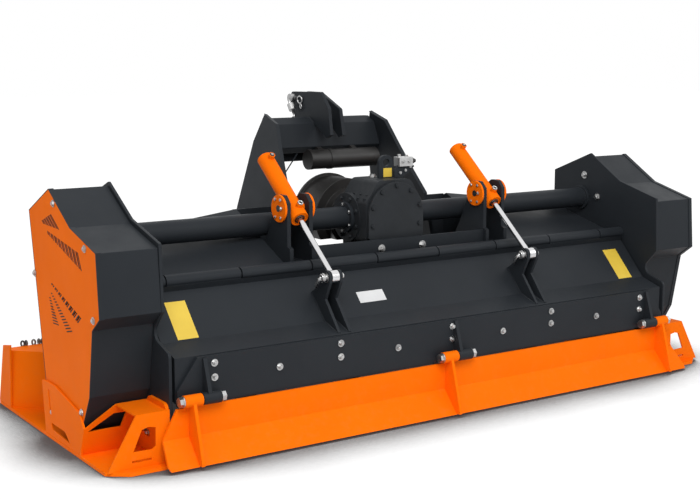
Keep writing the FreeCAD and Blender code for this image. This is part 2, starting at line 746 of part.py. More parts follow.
for label, left, right in (("left", -(flap_hinge_x + sleeve_length + 12), -(flap_hinge_x - sleeve_length - 12)),
                           ("centre", -(sleeve_length + 12), sleeve_length + 12),
                           ("right", flap_hinge_x - sleeve_length - 12, flap_hinge_x + sleeve_length + 12)):
    flap_pins.append(cylinder("flap_pin_" + label, flap_pin_radius, as_size(right) - left, left,
                              -flap_hinge_y, flap_hinge_z, "X"))
finish("flap_pins", gather("flap_pins", flap_pins))

# ---------------------------------------------------------------- headstock

tilt_cos = math.cos(math.radians(upright_tilt.value))
tilt_scale = Size(1 / tilt_cos, "(1 / cos(%s * 1deg))" % upright_tilt.text)
tilt_tan = Size(math.tan(math.radians(upright_tilt.value)), "tan(%s * 1deg)" % upright_tilt.text)


def on_upright(y, z):
    """A point of the leaning upright, from its height above the floor."""
    return (y, (as_size(z) - upright_top_z) * tilt_scale)


upright = plate("upright_plate", "YZ",
                [on_upright(*point) for point in (
                    (752, upright_top_z), (657, 923), (605, 839), (544, 748), (480, 660), (478, 400),
                    (700, 250), (842, 330), (828, 615), (792, 853), (746, 952))],
                upright_thick, 0)
upright.Placement = Placement(Vector(), Rotation(Vector(0, 1, 0), upright_tilt.value))
bind(upright, "Placement.Rotation.Angle", upright_tilt)
place(upright, -(upright_top_x + upright_thick / 2), 0, upright_top_z)
roof_tool = plate("roof_tool", "YZ",
                  [(roof_top_y - 60, roof_z), (roof_top_y, roof_z), roof_point(0), roof_point(1),
                   (nose_y + 200, 150), (nose_y + 200, 0), (roof_top_y - 60, 0)], 400, -600)
upright_cut = cut("upright_on_roof", upright, roof_tool)
lug_high = roof_point(0.28)
lug_low = roof_point(0.86)
lugs = []
for label, inner in (("inner", 1), ("outer", -1)):
    middle = -lower_link_x + (lug_gap + lug_thick) * (0.5 * inner)
    lugs.append(plate("lug_" + label, "YZ",
                      [lug_high, (720, 440), (lower_link_y + 10, lower_link_z + 42),
                       (lower_link_y + lug_nose, lower_link_z + 20),
                       (lower_link_y + lug_nose, lower_link_z - 20),
                       (lower_link_y + 10, lower_link_z - 42), lug_low],
                      lug_thick, middle - lug_thick / 2,
                      circles=[(lower_link_y, lower_link_z, lower_pin_radius + pin_clearance)]))
lug_bridge = box("lug_bridge", -(lower_link_x + lug_gap / 2), -(lower_link_x - lug_gap / 2),
                 720, 736, lower_link_z - 70, lower_link_z + 42)
lug_brace = plate("lug_brace", "XZ",
                  [(-(lower_link_x - lug_gap / 2), 440), (-(lower_link_x - lug_gap / 2), 424),
                   (-340, 440), (-340, 456)], 90, 740)
finish_pair("headstock_upright", join("headstock_upright", [upright_cut] + lugs + [lug_bridge, lug_brace]))
pin_half = lug_gap / 2 + lug_thick + 22
link_pins = [cylinder("lower_link_pin_" + side, lower_pin_radius, pin_half * 2,
                      lower_link_x * sign - pin_half, lower_link_y, lower_link_z, "X")
             for side, sign in (("left", -1), ("right", 1))]
finish("lower_link_pins", gather("lower_link_pins", link_pins))

beam_outline = [(beam_rear_y + 46, beam_top_z), (beam_rear_y + 14, beam_top_z - 22),
                (beam_rear_y, beam_low_z + 29), (beam_rear_y + 22, beam_low_z + 7),
                (beam_rear_y + 70, beam_low_z + 7), (beam_rear_y + 70, beam_web_z),
                (beam_rear_y + 82, beam_web_z), (beam_rear_y + 82, beam_top_z - 60),
                (beam_rear_y + 70, beam_top_z)]


def upright_inner(z):
    """Half the distance between the two leaning uprights at a height above the floor."""
    return upright_top_x + upright_thick / 2 - upright_thick * tilt_scale + (upright_top_z - z) * tilt_tan


beam_profile = plate("beam_profile", "YZ", beam_outline, 700, -350)
beam_front = plate("beam_front", "XZ",
                   [(-upright_inner(beam_top_z), beam_top_z), (-upright_inner(beam_web_z), beam_web_z),
                    (upright_inner(beam_web_z), beam_web_z), (upright_inner(beam_top_z), beam_top_z)],
                   200, beam_rear_y - 40)
beam_shape = doc.addObject("Part::MultiCommon", "headstock_beam")
beam_shape.Shapes = [beam_profile, beam_front]
finish("headstock_beam", beam_shape)

on_beam = [(beam_rear_y + 14, beam_top_z - 22), (beam_rear_y + 46, beam_top_z),
           (beam_rear_y + 70, beam_top_z), (beam_rear_y + 82, beam_top_z - 60),
           (beam_rear_y + 96, beam_top_z - 66), (beam_rear_y + 178, beam_top_z + 20)]
link_front_top = (beam_rear_y + 178, beam_top_z + 92)
link_rear = {
    "left": [(beam_rear_y - 30, beam_top_z + 95), (beam_rear_y - 82, beam_top_z + 37),
             (beam_rear_y - 98, beam_low_z + 76), (beam_rear_y - 72, beam_low_z + 64)],
    "right": [(beam_rear_y + 76, beam_top_z + 91), (beam_rear_y - 57, beam_top_z + 33),
              (beam_rear_y - 78, beam_low_z + 73), (beam_rear_y - 51, beam_low_z + 64)]}
link_plates = []
for label, left in (("left", -(link_plate_x + link_plate_thick)), ("right", link_plate_x)):
    rear = link_rear[label]
    link_plates.append(plate("link_plate_" + label, "YZ", [link_front_top] + rear + on_beam,
                             link_plate_thick, left,
                             circles=[(top_link_y, top_link_z, top_link_radius + pin_clearance),
                                      (top_link_y - 33, top_link_z, 10)],
                             rounds=[([link_front_top, on_beam[-1]], 16), (rear[0:2], 12)]))
finish("top_link_bracket", gather("top_link_bracket", link_plates))
top_pin_half = link_plate_x + link_plate_thick + 18
finish("top_link_pin", cylinder("top_link_pin", top_link_radius, top_pin_half * 2, -top_pin_half,
                                top_link_y, top_link_z, "X"))

# ---------------------------------------------------------------- gearbox and drive

gearbox_core = plate("gearbox_core", "XZ",
                     [(-gearbox_half, gearbox_low_z), (gearbox_half, gearbox_low_z),
                      (gearbox_half, drive_z + 60), (gearbox_half - 50, gearbox_top_z),
                      (-(gearbox_half - 50), gearbox_top_z), (-gearbox_half, drive_z + 60)],
                     gearbox_front_y - gearbox_rear_y - 90, gearbox_rear_y,
                     rounds=[([(-gearbox_half, gearbox_low_z), (gearbox_half, gearbox_low_z)], 30),
                             ([(gearbox_half, drive_z + 60), (-gearbox_half, drive_z + 60)], 24),
                             ([(gearbox_half - 50, gearbox_top_z), (50 - gearbox_half, gearbox_top_z)], 24)])
neck = cylinder("gearbox_neck", 78, 92 - seat_gap, 0, gearbox_front_y - 92, pto_z, "Y")
side_flange = cylinder("gearbox_flange", 85, (gearbox_half + 2) * 2, -(gearbox_half + 2), drive_y, drive_z, "X")
journal_depth = as_size(40)
journal_room = cylinder("journal_room", pto_journal_radius + pin_clearance, journal_depth + 4, 0,
                        gearbox_front_y - journal_depth - 2, pto_z, "Y")
finish("gearbox", cut("gearbox", join("gearbox_casting", [gearbox_core, neck, side_flange]), journal_room))
cover_z = drive_z + 11
cover_disc = cylinder("cover_disc", cover_radius, 14, 0, gearbox_rear_y - 14, cover_z, "Y")
cover_foot = plate("cover_foot", "XZ",
                   [(-cover_radius, cover_z), (-cover_radius, cover_z - 72), (-(cover_radius - 26), cover_z - 96),
                    (cover_radius - 26, cover_z - 96), (cover_radius, cover_z - 72), (cover_radius, cover_z)],
                   14, gearbox_rear_y - 14)
finish("gearbox_cover", join("gearbox_cover", [cover_disc, cover_foot]))
pto_stub = cylinder("pto_stub", pto_radius, 150, 0, gearbox_front_y, pto_z, "Y")
pto_journal = cylinder("pto_journal", pto_journal_radius, journal_depth + 2, 0,
                       gearbox_front_y - journal_depth, pto_z, "Y")
finish("pto_shaft", join("pto_shaft", [pto_stub, pto_journal]))
guard_shell = turned(
    "guard_shell", "YZ",
    [(gearbox_front_y, pto_radius + 8), (gearbox_front_y, guard_neck_radius),
     (guard_step_y, guard_neck_radius), (guard_step_y, guard_drum_radius),
     (guard_front_y - 10, guard_drum_radius), (guard_front_y - 10, guard_radius),
     (guard_front_y, guard_radius), (guard_front_y, guard_drum_radius - guard_wall),
     (guard_step_y + guard_wall, guard_drum_radius - guard_wall),
     (guard_step_y + guard_wall, guard_neck_radius - guard_wall),
     (gearbox_front_y + guard_wall, guard_neck_radius - guard_wall),
     (gearbox_front_y + guard_wall, pto_radius + 8)], 0, 0, pto_z)
guard_open = box("guard_open", -(guard_radius + 5), guard_radius + 5, gearbox_front_y - 5, guard_front_y + 5,
                 pto_z - guard_radius - 5, guard_low_z)
finish("pto_guard", cut("pto_guard", guard_shell, guard_open))

tube_inner = tube_radius - tube_wall
shaft_tube = turned(
    "shaft_tube", "XZ",
    [(-half_width, tube_inner), (-half_width, tube_radius + 9), (-(half_width - 12), tube_radius + 9),
     (-(half_width - 12), tube_radius), (-(gearbox_half + 14), tube_radius),
     (-(gearbox_half + 14), tube_radius + 16), (-(gearbox_half + 2), tube_radius + 16),
     (-(gearbox_half + 2), tube_inner)], 0, drive_y, drive_z)
finish_pair("shaft_tube", shaft_tube)

mount_half = cylinder_x - bracket_gap / 2 - bracket_thick
mount_rear_y = trunnion_y - 43
mount_face = plate("mount_face", "XZ",
                   [(-mount_half, roof_z), (mount_half, roof_z), (mount_half, roof_z + 52),
                    (-mount_half, roof_z + 52)], 12, mount_rear_y,
                   circles=[(x, roof_z + 18, 7) for x in (-87, 87)])
rails = []
for label, left in (("left", -(gearbox_half - 10)), ("right", gearbox_half - 28)):
    rails.append(plate("mount_rail_" + label, "YZ",
                       [(mount_rear_y + 12, roof_z), (mount_rear_y + 12, gearbox_low_z),
                        (gearbox_front_y - 90, gearbox_low_z), (gearbox_front_y - 90, roof_z - 6),
                        (roof_top_y, roof_z)], 18, left))
finish("gearbox_mount", join("gearbox_mount", [mount_face] + rails))

# ---------------------------------------------------------------- hydraulic cylinders

bracket_outline = [(mount_rear_y, trunnion_z + 20), (mount_rear_y, 551), (mount_rear_y - 16, 545),
                   (mount_rear_y - 16, roof_z + 1), (roof_rear_y, roof_z), (roof_top_y, roof_z),
                   (360, 560), (trunnion_y + 50, trunnion_z - 20), (trunnion_y + 45, trunnion_z + 25),
                   (trunnion_y + 18, trunnion_z + 44), (trunnion_y - 20, trunnion_z + 44)]
bracket_pieces = []
for label, inner in (("inner", 1), ("outer", -1)):
    middle = -cylinder_x + (bracket_gap + bracket_thick) * (0.5 * inner)
    bracket_pieces.append(plate("bracket_plate_" + label, "YZ", bracket_outline, bracket_thick,
                                middle - bracket_thick / 2,
                                circles=[(trunnion_y, trunnion_z, trunnion_radius + pin_clearance)]))
finish_pair("cylinder_bracket", join("cylinder_bracket", bracket_pieces))
discs = []
for side, sign in (("left", -1), ("right", 1)):
    for label, inner in (("inner", 1), ("outer", -1)):
        near_face = cylinder_x * sign + (bracket_gap / 2 + bracket_thick) * inner
        start = near_face if inner == 1 else near_face - disc_thick
        name = "disc_%s_%s" % (side, label)
        eye = cylinder(name + "_eye", trunnion_radius + pin_clearance, disc_thick + 4, start - 2,
                       trunnion_y, trunnion_z, "X")
        discs.append(cut(name, cylinder(name + "_solid", trunnion_radius + disc_rim, disc_thick, start,
                                        trunnion_y, trunnion_z, "X"), eye))
finish("trunnion_discs", gather("trunnion_discs", discs))

lift_run = trunnion_y - eye_y
lift_rise = trunnion_z - eye_z
lift_value = math.degrees(math.atan2(lift_rise.value, lift_run.value))
lift_length = Size(math.hypot(lift_run.value, lift_rise.value),
                   "sqrt(%s^2 + %s^2)" % (lift_run.text, lift_rise.text))


def along_cylinder(thing, x, y, z):
    """Lay a sub-part that was made along +Y down on the line from rod eye to trunnion."""
    thing.Placement = Placement(Vector(), Rotation(Vector(1, 0, 0), lift_value))
    bind(thing, "Placement.Rotation.Angle",
         Size(lift_value, "atan2(%s; %s)" % (lift_rise.text, lift_run.text)))
    place(thing, x, y, z)
    return thing


half_trunnion = bracket_gap / 2 + bracket_thick + disc_thick
barrel = join("cylinder_barrel", [
    cylinder("barrel_tube", barrel_radius, barrel_back + barrel_front, 0, -barrel_front, 0, "Y"),
    cylinder("barrel_head", barrel_radius + head_step, 30, 0, -barrel_front, 0, "Y"),
    cylinder("trunnion", trunnion_radius, half_trunnion * 2, -half_trunnion, 0, 0, "X"),
    cylinder("port_rear", 11, barrel_radius + 14, 0, barrel_back - 24, 0, "Z"),
    cylinder("port_front", 11, barrel_radius + 12, 0, -22, 0, "Z")])
gland = cylinder("gland", rod_radius + pin_clearance, barrel_back + barrel_front - 20, 0,
                 -(barrel_front + 5), 0, "Y")
finish_pair("cylinder_barrel", along_cylinder(cut("barrel_open", barrel, gland), -cylinder_x,
                                              trunnion_y, trunnion_z))
eye_hole_radius = eye_pin_radius + eye_play
eye_ring = cylinder("eye_ring", eye_hole_radius + eye_wall, eye_width, -(eye_width / 2), 0, 0, "X")
eye_hole = cylinder("eye_hole", eye_hole_radius, eye_width + 4, -(eye_width / 2 + 2), 0, 0, "X")
rod_shaft = cylinder("rod_shaft", rod_radius, lift_length + rod_inside, 0, 0, 0, "Y")
finish_pair("cylinder_rod", along_cylinder(
    cut("rod_open", join("rod_solid", [eye_ring, rod_shaft]), eye_hole), -cylinder_x, eye_y, eye_z))

# ---------------------------------------------------------------- skids and front

skid_outer_face = sole_outer - 1


def beside_plate(points):
    """Points given by their distance from the side plate's outer face, and their height."""
    return [(-(side_outer + out), z) for out, z in points]


sole = plate("sole", "XY",
             [(-half_width, -sole_rear_y), (-(sole_outer - 60), -sole_rear_y),
              (-sole_outer, -(sole_rear_y - 45)), (-sole_outer, sole_front_y), (-half_width, sole_front_y)],
             sole_thick, 0)
bracket = plate("skid_side", "YZ",
                [(443, 172), (416, 177), (336, 177), (150, 140), (112, 98), (137, 33), (141, sole_thick),
                 (425, sole_thick)], skid_plate, -skid_outer_face,
                cutouts=[[(394, 154), (384, 154), (373, 78), (383, 78)],
                         [(375, 52), (264, 52), (227, 25), (368, 34)]])
nose_end = plate("skid_nose", "YZ",
                 [(803, 211), (735, 224), (750, sole_thick), (862, sole_thick)],
                 skid_plate, -skid_outer_face)
nose_wall = plate("nose_wall", "XY",
                  [(-(skid_outer_face - 3), 770), (-(skid_outer_face - 3), 757), (-side_outer, 560),
                   (-side_outer, 573)], nose_z - 13, sole_thick)
nose_top = plate("nose_top", "XY",
                 [(-side_outer, 562), (-(skid_outer_face - 3), 758), (-(skid_outer_face - 3), 800),
                  (-side_outer, 800)], 8, nose_z - 13)
leaning = plate("bridge_front", "YZ",
                [(148, sole_thick), (137, 33), (112, 98), (85, bridge_z), (93, bridge_z),
                 (120, 98), (145, 33), (156, sole_thick)], 190, -(side_outer + 190))
leaning_front = plate("bridge_front_shape", "XZ",
                      [(-side_outer, 0), (-(side_outer + 190), 0), (-(side_outer + 190), 98),
                       (-(side_outer + 104), bridge_z), (-side_outer, bridge_z)], 200, 20,
                      cutouts=[beside_plate([(183, 86), (108, 136), (67, 135), (78, 87)])])
leaning_plate = doc.addObject("Part::MultiCommon", "leaning_plate")
leaning_plate.Shapes = [leaning, leaning_front]
rear_wall = plate("bridge_rear", "XZ",
                  [(-side_outer, sole_thick), (-(sole_outer - 3), sole_thick), (-(side_outer + 103), bridge_z),
                   (-side_outer, bridge_z)], skid_plate, -bridge_rear_y,
                  cutouts=[beside_plate([(87, 120), (67, 125), (44, 121), (45, 65), (56, 57), (115, 59)]),
                           beside_plate([(119, 34), (59, 34), (59, 27), (119, 27)])])
bridge_top = plate("bridge_top", "XY",
                   [(-side_outer, -bridge_rear_y), (-(side_outer + 104), -bridge_rear_y),
                    (-(side_outer + 104), 92), (-side_outer, 92)], skid_plate, bridge_z - skid_plate)
web = plate("skid_web", "YZ",
            [(-45, sole_thick), (-45, 181), (82, 181), (82, 150), (150, 60), (150, sole_thick)],
            10, -(side_outer + 10), rounds=[([(-45, 181), (82, 181)], 20)])
finish_pair("skid", join("skid", [sole, bracket, nose_end, nose_wall, nose_top, leaning_plate,
                                  rear_wall, bridge_top, web]))

bar_half = half_width
finish("front_bar", plate("front_bar", "YZ",
                          [(nose_y, nose_z - 5), (nose_y, nose_z + 12), (nose_y + 12, nose_z + 12),
                           (nose_y + 12, nose_z - 60), (nose_y, nose_z - 60)], bar_half * 2, -bar_half))
chain_count = Size(44, "floor((Sizes.half_width * 2 - 60) / Sizes.chain_pitch)")
curtain = new_body("chain_curtain")
rail_sketch = new_sketch(curtain, "XZ")
draw_loop(rail_sketch, [(-(half_width - 6), nose_z + 4), (half_width - 6, nose_z + 4),
                        (half_width - 6, nose_z - 18), (-(half_width - 6), nose_z - 18)])
rail_pad = pad(curtain, rail_sketch, 8)
strip_sketch = new_sketch(curtain, "XZ")
strip_left = -(chain_pitch * (chain_count - 1) + chain_width) / 2
draw_loop(strip_sketch, [(strip_left, nose_z - 10), (strip_left + chain_width, nose_z - 10),
                         (strip_left + chain_width, chain_foot_z), (strip_left, chain_foot_z)])
strip_pad = pad(curtain, strip_sketch, 8)
pattern = curtain.newObject("PartDesign::LinearPattern", "chains")
pattern.Originals = [strip_pad]
pattern.Direction = (strip_sketch, ["H_Axis"])
curtain.Tip = pattern
bind(pattern, "Length", chain_pitch * (chain_count - 1))
bind(pattern, "Occurrences", chain_count)
place(curtain, 0, nose_y + 12 + 8, 0)
finish("chain_curtain", curtain)

# ---------------------------------------------------------------- fittings on top

tube_y = beam_rear_y - 32
tube_z = beam_low_z - 15
document_radius = as_size(36)
document = [turned(
    "document_body", "XZ",
    [(-97, 0), (-97, document_radius + 1), (-80, document_radius + 1), (-80, document_radius),
     (-12, document_radius), (-12, document_radius + 2), (4, document_radius + 2), (4, document_radius),
     (203, document_radius), (203, 0)], 0, tube_y, tube_z)]
for label, x in (("left", -40), ("right", 110)):
    document.append(plate("document_clip_" + label, "YZ",
                          [(tube_y + 4, tube_z + 30), (beam_rear_y, beam_low_z + 29),
                           (beam_rear_y + 22, beam_low_z + 7), (tube_y + 32, tube_z)], 20, x))
finish("document_tube", join("document_tube", document))
lug_top_z = gearbox_top_z + 79
finish("lifting_lug", plate("lifting_lug", "XZ",
                            [(-13, gearbox_top_z), (47, gearbox_top_z), (47, lug_top_z), (-13, lug_top_z)],
                            12, 345, circles=[(18, lug_top_z - 25, 13)],
                            rounds=[([(-13, lug_top_z), (47, lug_top_z)], 27)]))
valve_plate = plate("valve_plate", "XZ",
                    [(46, gearbox_top_z), (80, gearbox_top_z), (104, gearbox_top_z + 12),
                     (134, gearbox_top_z + 36), (124, gearbox_top_z + 46), (62, gearbox_top_z + 42),
                     (46, gearbox_top_z + 24)], 8, 335)
valve_body = box("valve_body", 62, 120, 326, 362, gearbox_top_z + 38, gearbox_top_z + 71)
finish("valve_block", join("valve_block", [valve_plate, valve_body]))

# ---------------------------------------------------------------- checks and output

doc.recompute()
for thing in doc.Objects:
    if "Invalid" in thing.State or "Error" in thing.State:
        raise RuntimeError("%s is in state %s" % (thing.Label, thing.State))
for thing in sub_parts:
    if thing.Shape.isNull() or not thing.Shape.isValid():
        raise RuntimeError("%s has no valid shape" % thing.Label)
os.makedirs("parts", exist_ok=True)
for thing in sub_parts:
    thing.Shape.exportStep("parts/%s.step" % thing.Label)
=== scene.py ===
import math
import random

import bmesh
import bpy
from mathutils import Matrix, Vector


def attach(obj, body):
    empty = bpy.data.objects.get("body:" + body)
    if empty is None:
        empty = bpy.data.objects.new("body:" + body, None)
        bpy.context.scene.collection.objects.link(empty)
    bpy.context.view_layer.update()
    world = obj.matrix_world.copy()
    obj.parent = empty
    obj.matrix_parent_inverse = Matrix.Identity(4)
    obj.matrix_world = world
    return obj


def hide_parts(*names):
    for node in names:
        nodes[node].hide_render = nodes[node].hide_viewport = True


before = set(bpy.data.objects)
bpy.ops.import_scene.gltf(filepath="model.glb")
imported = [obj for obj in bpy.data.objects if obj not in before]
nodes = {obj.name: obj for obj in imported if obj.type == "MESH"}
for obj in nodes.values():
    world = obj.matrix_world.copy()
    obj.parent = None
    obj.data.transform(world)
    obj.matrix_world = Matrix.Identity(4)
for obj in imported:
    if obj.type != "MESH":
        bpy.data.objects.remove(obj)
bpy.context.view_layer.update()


MM = 0.001
scene = bpy.context.scene
random.seed(7)

# ------------------------------------------------------------------ places, in millimetres
# A pair is y and z, unless its comment says otherwise.

SIDES = (("left", -1), ("right", 1))
MID_Y = 399.5                      # from the rear datum of the machine to the middle of its length

PLATE_IN, PLATE_OUT = 1012, 1022   # faces of the side plates
ROOF_TOP = 492                     # upper face of the rotor housing's flat part
COVER_FACE = 1210                  # outer face of the belt covers
SOLE_FACE = 1217                   # outer face of the skids
NOSE = (803, 207)                  # where chain links hook over the nose of a skid
ROTOR_AXIS = (310, 240)
DRIVE = (393, 606)                 # middle of the drive tubes
COLLAR_X = 132                     # face of the collar at the gearbox end of a drive tube
FLANGE_X = 120                     # face of the gearbox's own side flange
COVER = (0, 617)                   # x and z of the middle of the gearbox's round cover
COVER_Y = 258
CASTING_TOP = 740                  # top of the gearbox
MOUNT = (225, 510)                 # rear face of the mount bar, and the height of its two bolts
LUG_FACE = 345                     # rear face of the lifting lug
VALVE_Y = 344                      # middle of the valve's body
VALVE_FACE = 326                   # its rear face
TOP_PIN = (864, 1004)
LINK_PLATE = 40                    # outer face of the top link plates
LOWER_PIN = (905, 394)
LOWER_LINK_X = 412                 # middle of the gap between the two lugs of a lower link
BEAM_REAR = 712                    # rear face of the headstock beam

CREASE = (160, 462)                # where the hood's lip meets its sloping skin
LEDGE = (41, 335)                  # where the sloping skin meets the ledge below it
WEAR_FACE = -56                    # rear face of the bolted wear plate
FLAP_HINGE = (-82, 190)
FLAP_HINGE_X = 935
SLEEVE = 57                        # length of a sleeve; a flap hinge has one on each side of its middle
CYLINDER_X = 412
TRUNNION = (268, 672)
EYE = (32, 477)
DISC_FACES = (355, 469)            # inner and outer faces of the discs beside a barrel


def at(x, y, z):
    """A place given in millimetres from the rear datum, as a vector in metres."""
    return Vector((x, y - MID_Y, z)) * MM


def around(middle, radius, degrees):
    """The two coordinates of a point on a circle."""
    angle = math.radians(degrees)
    return middle[0] + radius * math.cos(angle), middle[1] + radius * math.sin(angle)


# ------------------------------------------------------------------ materials

class Nodes:
    """A new material with short calls for its nodes."""

    def __init__(self, name):
        self.material = bpy.data.materials.new(name)
        self.material.use_nodes = True
        self.tree = self.material.node_tree
        self.shader = self.tree.nodes["Principled BSDF"]

    def add(self, kind, **settings):
        node = self.tree.nodes.new(kind)
        for key, value in settings.items():
            setattr(node, key, value)
        return node

    def link(self, source, target):
        self.tree.links.new(source, target)

    def place(self):
        return self.add("ShaderNodeTexCoord").outputs["Object"]

    def noise(self, scale, detail=4.0, roughness=0.55):
        node = self.add("ShaderNodeTexNoise")
        node.inputs["Scale"].default_value = scale
        node.inputs["Detail"].default_value = detail
        node.inputs["Roughness"].default_value = roughness
        self.link(self.place(), node.inputs["Vector"])
        return node.outputs["Fac"]

    def spread(self, value, low, high, to_low=0.0, to_high=1.0):
        """A value between low and high, stretched to a new range."""
        node = self.add("ShaderNodeMapRange")
        node.inputs["From Min"].default_value = low
        node.inputs["From Max"].default_value = high
        node.inputs["To Min"].default_value = to_low
        node.inputs["To Max"].default_value = to_high
        self.link(value, node.inputs["Value"])
        return node.outputs["Result"]

    def patches(self, scale, detail=4.0, low=0.35, high=0.65):
        """Soft patches between 0 and 1."""
        return self.spread(self.noise(scale, detail), low, high)

    def mix(self, factor, first, second):
        """A colour between two; each is a colour tuple or a socket."""
        node = self.add("ShaderNodeMix", data_type="RGBA")
        self.link(factor, node.inputs["Factor"])
        for socket, colour in ((node.inputs[6], first), (node.inputs[7], second)):
            if isinstance(colour, tuple):
                socket.default_value = (*colour, 1.0)
            else:
                self.link(colour, socket)
        return node.outputs[2]

    def times(self, first, second):
        """The product of a socket and a number or another socket."""
        node = self.add("ShaderNodeMath", operation="MULTIPLY")
        self.link(first, node.inputs[0])
        if isinstance(second, float):
            node.inputs[1].default_value = second
        else:
            self.link(second, node.inputs[1])
        return node.outputs[0]

    def bump(self, height, strength, distance):
        node = self.add("ShaderNodeBump")
        node.inputs["Strength"].default_value = strength
        node.inputs["Distance"].default_value = distance
        self.link(height, node.inputs["Height"])
        self.link(node.outputs["Normal"], self.shader.inputs["Normal"])

    def set(self, **values):
        """Give inputs of the shader a value or a link."""
        for key, value in values.items():
            socket = self.shader.inputs[key.replace("_", " ")]
            if isinstance(value, (float, int, tuple)):
                socket.default_value = value
            else:
                self.link(value, socket)

    def rough(self, scale, detail, smooth, coarse):
        """Roughness that wanders between two values."""
        self.set(Roughness=self.spread(self.noise(scale, detail), 0.3, 0.7, smooth, coarse))


def height_fade(m, low, high):
    """1 at the low height, 0 at the high height above the floor."""
    split = m.add("ShaderNodeSeparateXYZ")
    m.link(m.place(), split.inputs["Vector"])
    return m.spread(split.outputs["Z"], low, high, 1.0, 0.0)


def paint(name, colour, deep, dust, dust_amount, rough, shine):
    """Sprayed paint: slight clouding, fine orange peel, and a breath of dust low down."""
    m = Nodes(name)
    base = m.mix(m.patches(3.0, 5.0), deep, colour)
    specks = m.spread(m.noise(42.0, 8.0, 0.7), 0.5, 0.75)
    low = height_fade(m, 0.0, 0.45)
    dusty = m.times(m.times(specks, low), dust_amount)
    m.set(Base_Color=m.mix(dusty, base, dust), Specular_IOR_Level=shine)
    m.rough(14.0, 6.0, rough - 0.04, rough + 0.06)
    m.bump(m.noise(650.0, 2.0), 0.05, 0.0004)
    return m.material


def casting(name, colour, deep):
    """Painted iron casting with a sandy skin."""
    m = Nodes(name)
    m.set(Base_Color=m.mix(m.patches(9.0), deep, colour), Specular_IOR_Level=0.2)
    m.rough(60.0, 6.0, 0.42, 0.6)
    m.bump(m.noise(420.0, 5.0, 0.7), 0.35, 0.0006)
    return m.material


def metal(name, colour, deep, rough, grain):
    """Bright metal with fine clouding in its shine."""
    m = Nodes(name)
    m.set(Base_Color=m.mix(m.patches(25.0, 6.0), deep, colour), Metallic=1.0)
    m.rough(grain, 6.0, rough - 0.05, rough + 0.09)
    m.bump(m.noise(grain * 6, 3.0), 0.06, 0.0003)
    return m.material


def worn_steel(name, colour, scuff, bare):
    """Rotor steel: scuffed dark paint, rubbed through to bare metal towards the tooth tips."""
    m = Nodes(name)
    arm = m.add("ShaderNodeVectorMath", operation="MULTIPLY_ADD")
    m.link(m.place(), arm.inputs[0])
    arm.inputs[1].default_value = (0.0, 1.0, 1.0)
    arm.inputs[2].default_value = -at(0, *ROTOR_AXIS)
    reach = m.add("ShaderNodeVectorMath", operation="LENGTH")
    m.link(arm.outputs[0], reach.inputs[0])
    tip = m.spread(reach.outputs["Value"], 0.176, 0.212)
    worn = m.times(m.spread(m.noise(38.0, 9.0, 0.65), 0.38, 0.62), tip)
    scuffed = m.spread(m.noise(70.0, 9.0, 0.7), 0.5, 0.8)
    m.set(Base_Color=m.mix(worn, m.mix(scuffed, colour, scuff), bare), Metallic=worn)
    m.rough(50.0, 6.0, 0.36, 0.6)
    m.bump(m.noise(160.0, 6.0), 0.3, 0.0008)
    return m.material


def moulded(name, colour, deep, rough, grain, strength):
    """Plastic, label film or the painted shade in a slit, with a fine grain."""
    m = Nodes(name)
    m.set(Base_Color=m.mix(m.patches(12.0), deep, colour))
    m.rough(40.0, 4.0, rough - 0.05, rough + 0.07)
    m.bump(m.noise(grain, 3.0), strength, 0.0004)
    return m.material


DARK = paint("dark_paint", colour=(0.0190, 0.0222, 0.0262), deep=(0.0165, 0.0192, 0.0228),
             dust=(0.08, 0.075, 0.065), dust_amount=0.06, rough=0.46, shine=0.13)
ORANGE = paint("orange_paint", colour=(0.95, 0.168, 0.002), deep=(0.90, 0.155, 0.0015),
               dust=(0.50, 0.24, 0.10), dust_amount=0.10, rough=0.50, shine=0.03)
IRON = casting("gearbox_casting", colour=(0.0185, 0.021, 0.024), deep=(0.0145, 0.0165, 0.019))
ZINC = metal("zinc_steel", colour=(0.56, 0.56, 0.555), deep=(0.44, 0.44, 0.44), rough=0.30, grain=90.0)
CHROME = metal("hard_chrome", colour=(0.76, 0.76, 0.77), deep=(0.70, 0.70, 0.71), rough=0.14, grain=60.0)
ALUMINIUM = metal("cast_aluminium", colour=(0.62, 0.62, 0.62), deep=(0.52, 0.52, 0.52),
                  rough=0.38, grain=120.0)
ROTOR_STEEL = worn_steel("rotor_steel", colour=(0.026, 0.027, 0.030), scuff=(0.055, 0.052, 0.048),
                         bare=(0.34, 0.33, 0.32))
PLASTIC = moulded("black_plastic", colour=(0.013, 0.012, 0.0115), deep=(0.009, 0.0085, 0.008),
                  rough=0.42, grain=500.0, strength=0.2)
# painted shade: a dark reddish brown that stands for the shadow inside the vent slits
SLIT_SHADE = moulded("painted_slit_shade", colour=(0.030, 0.010, 0.004), deep=(0.022, 0.008, 0.003),
               rough=0.8, grain=300.0, strength=0.1)
YELLOW = moulded("yellow_label", colour=(0.72, 0.50, 0.05), deep=(0.66, 0.45, 0.042),
                 rough=0.5, grain=900.0, strength=0.03)
WHITE = moulded("white_label", colour=(0.66, 0.66, 0.66), deep=(0.60, 0.60, 0.60),
                rough=0.5, grain=900.0, strength=0.03)

# ------------------------------------------------------------------ looks of the CAD nodes

ORANGE_NODES = ("belt_cover", "skid", "rear_flap", "cylinder_barrel", "trunnion_discs")
ZINC_NODES = ("top_link_pin", "lower_link_pins", "rod_pins", "flap_pins", "pto_shaft", "chain_curtain")
BROAD_NODES = ("side_plate", "belt_case", "headstock", "rotor_housing", "skid", "top_link_bracket",
               "cylinder_bracket", "rear_hood", "rear_flap")
BROAD_ROUND, FINE_ROUND = 0.0018, 0.0010   # bevel on broad plates and on small pieces, in metres
SMOOTH_LIMIT = 48                  # degrees; an edge past it stays sharp
BEVEL_LIMIT = 14                   # degrees; an edge past it gets its bevel
BODY_FOOT = CASTING_TOP + 37       # just under the valve's bare body


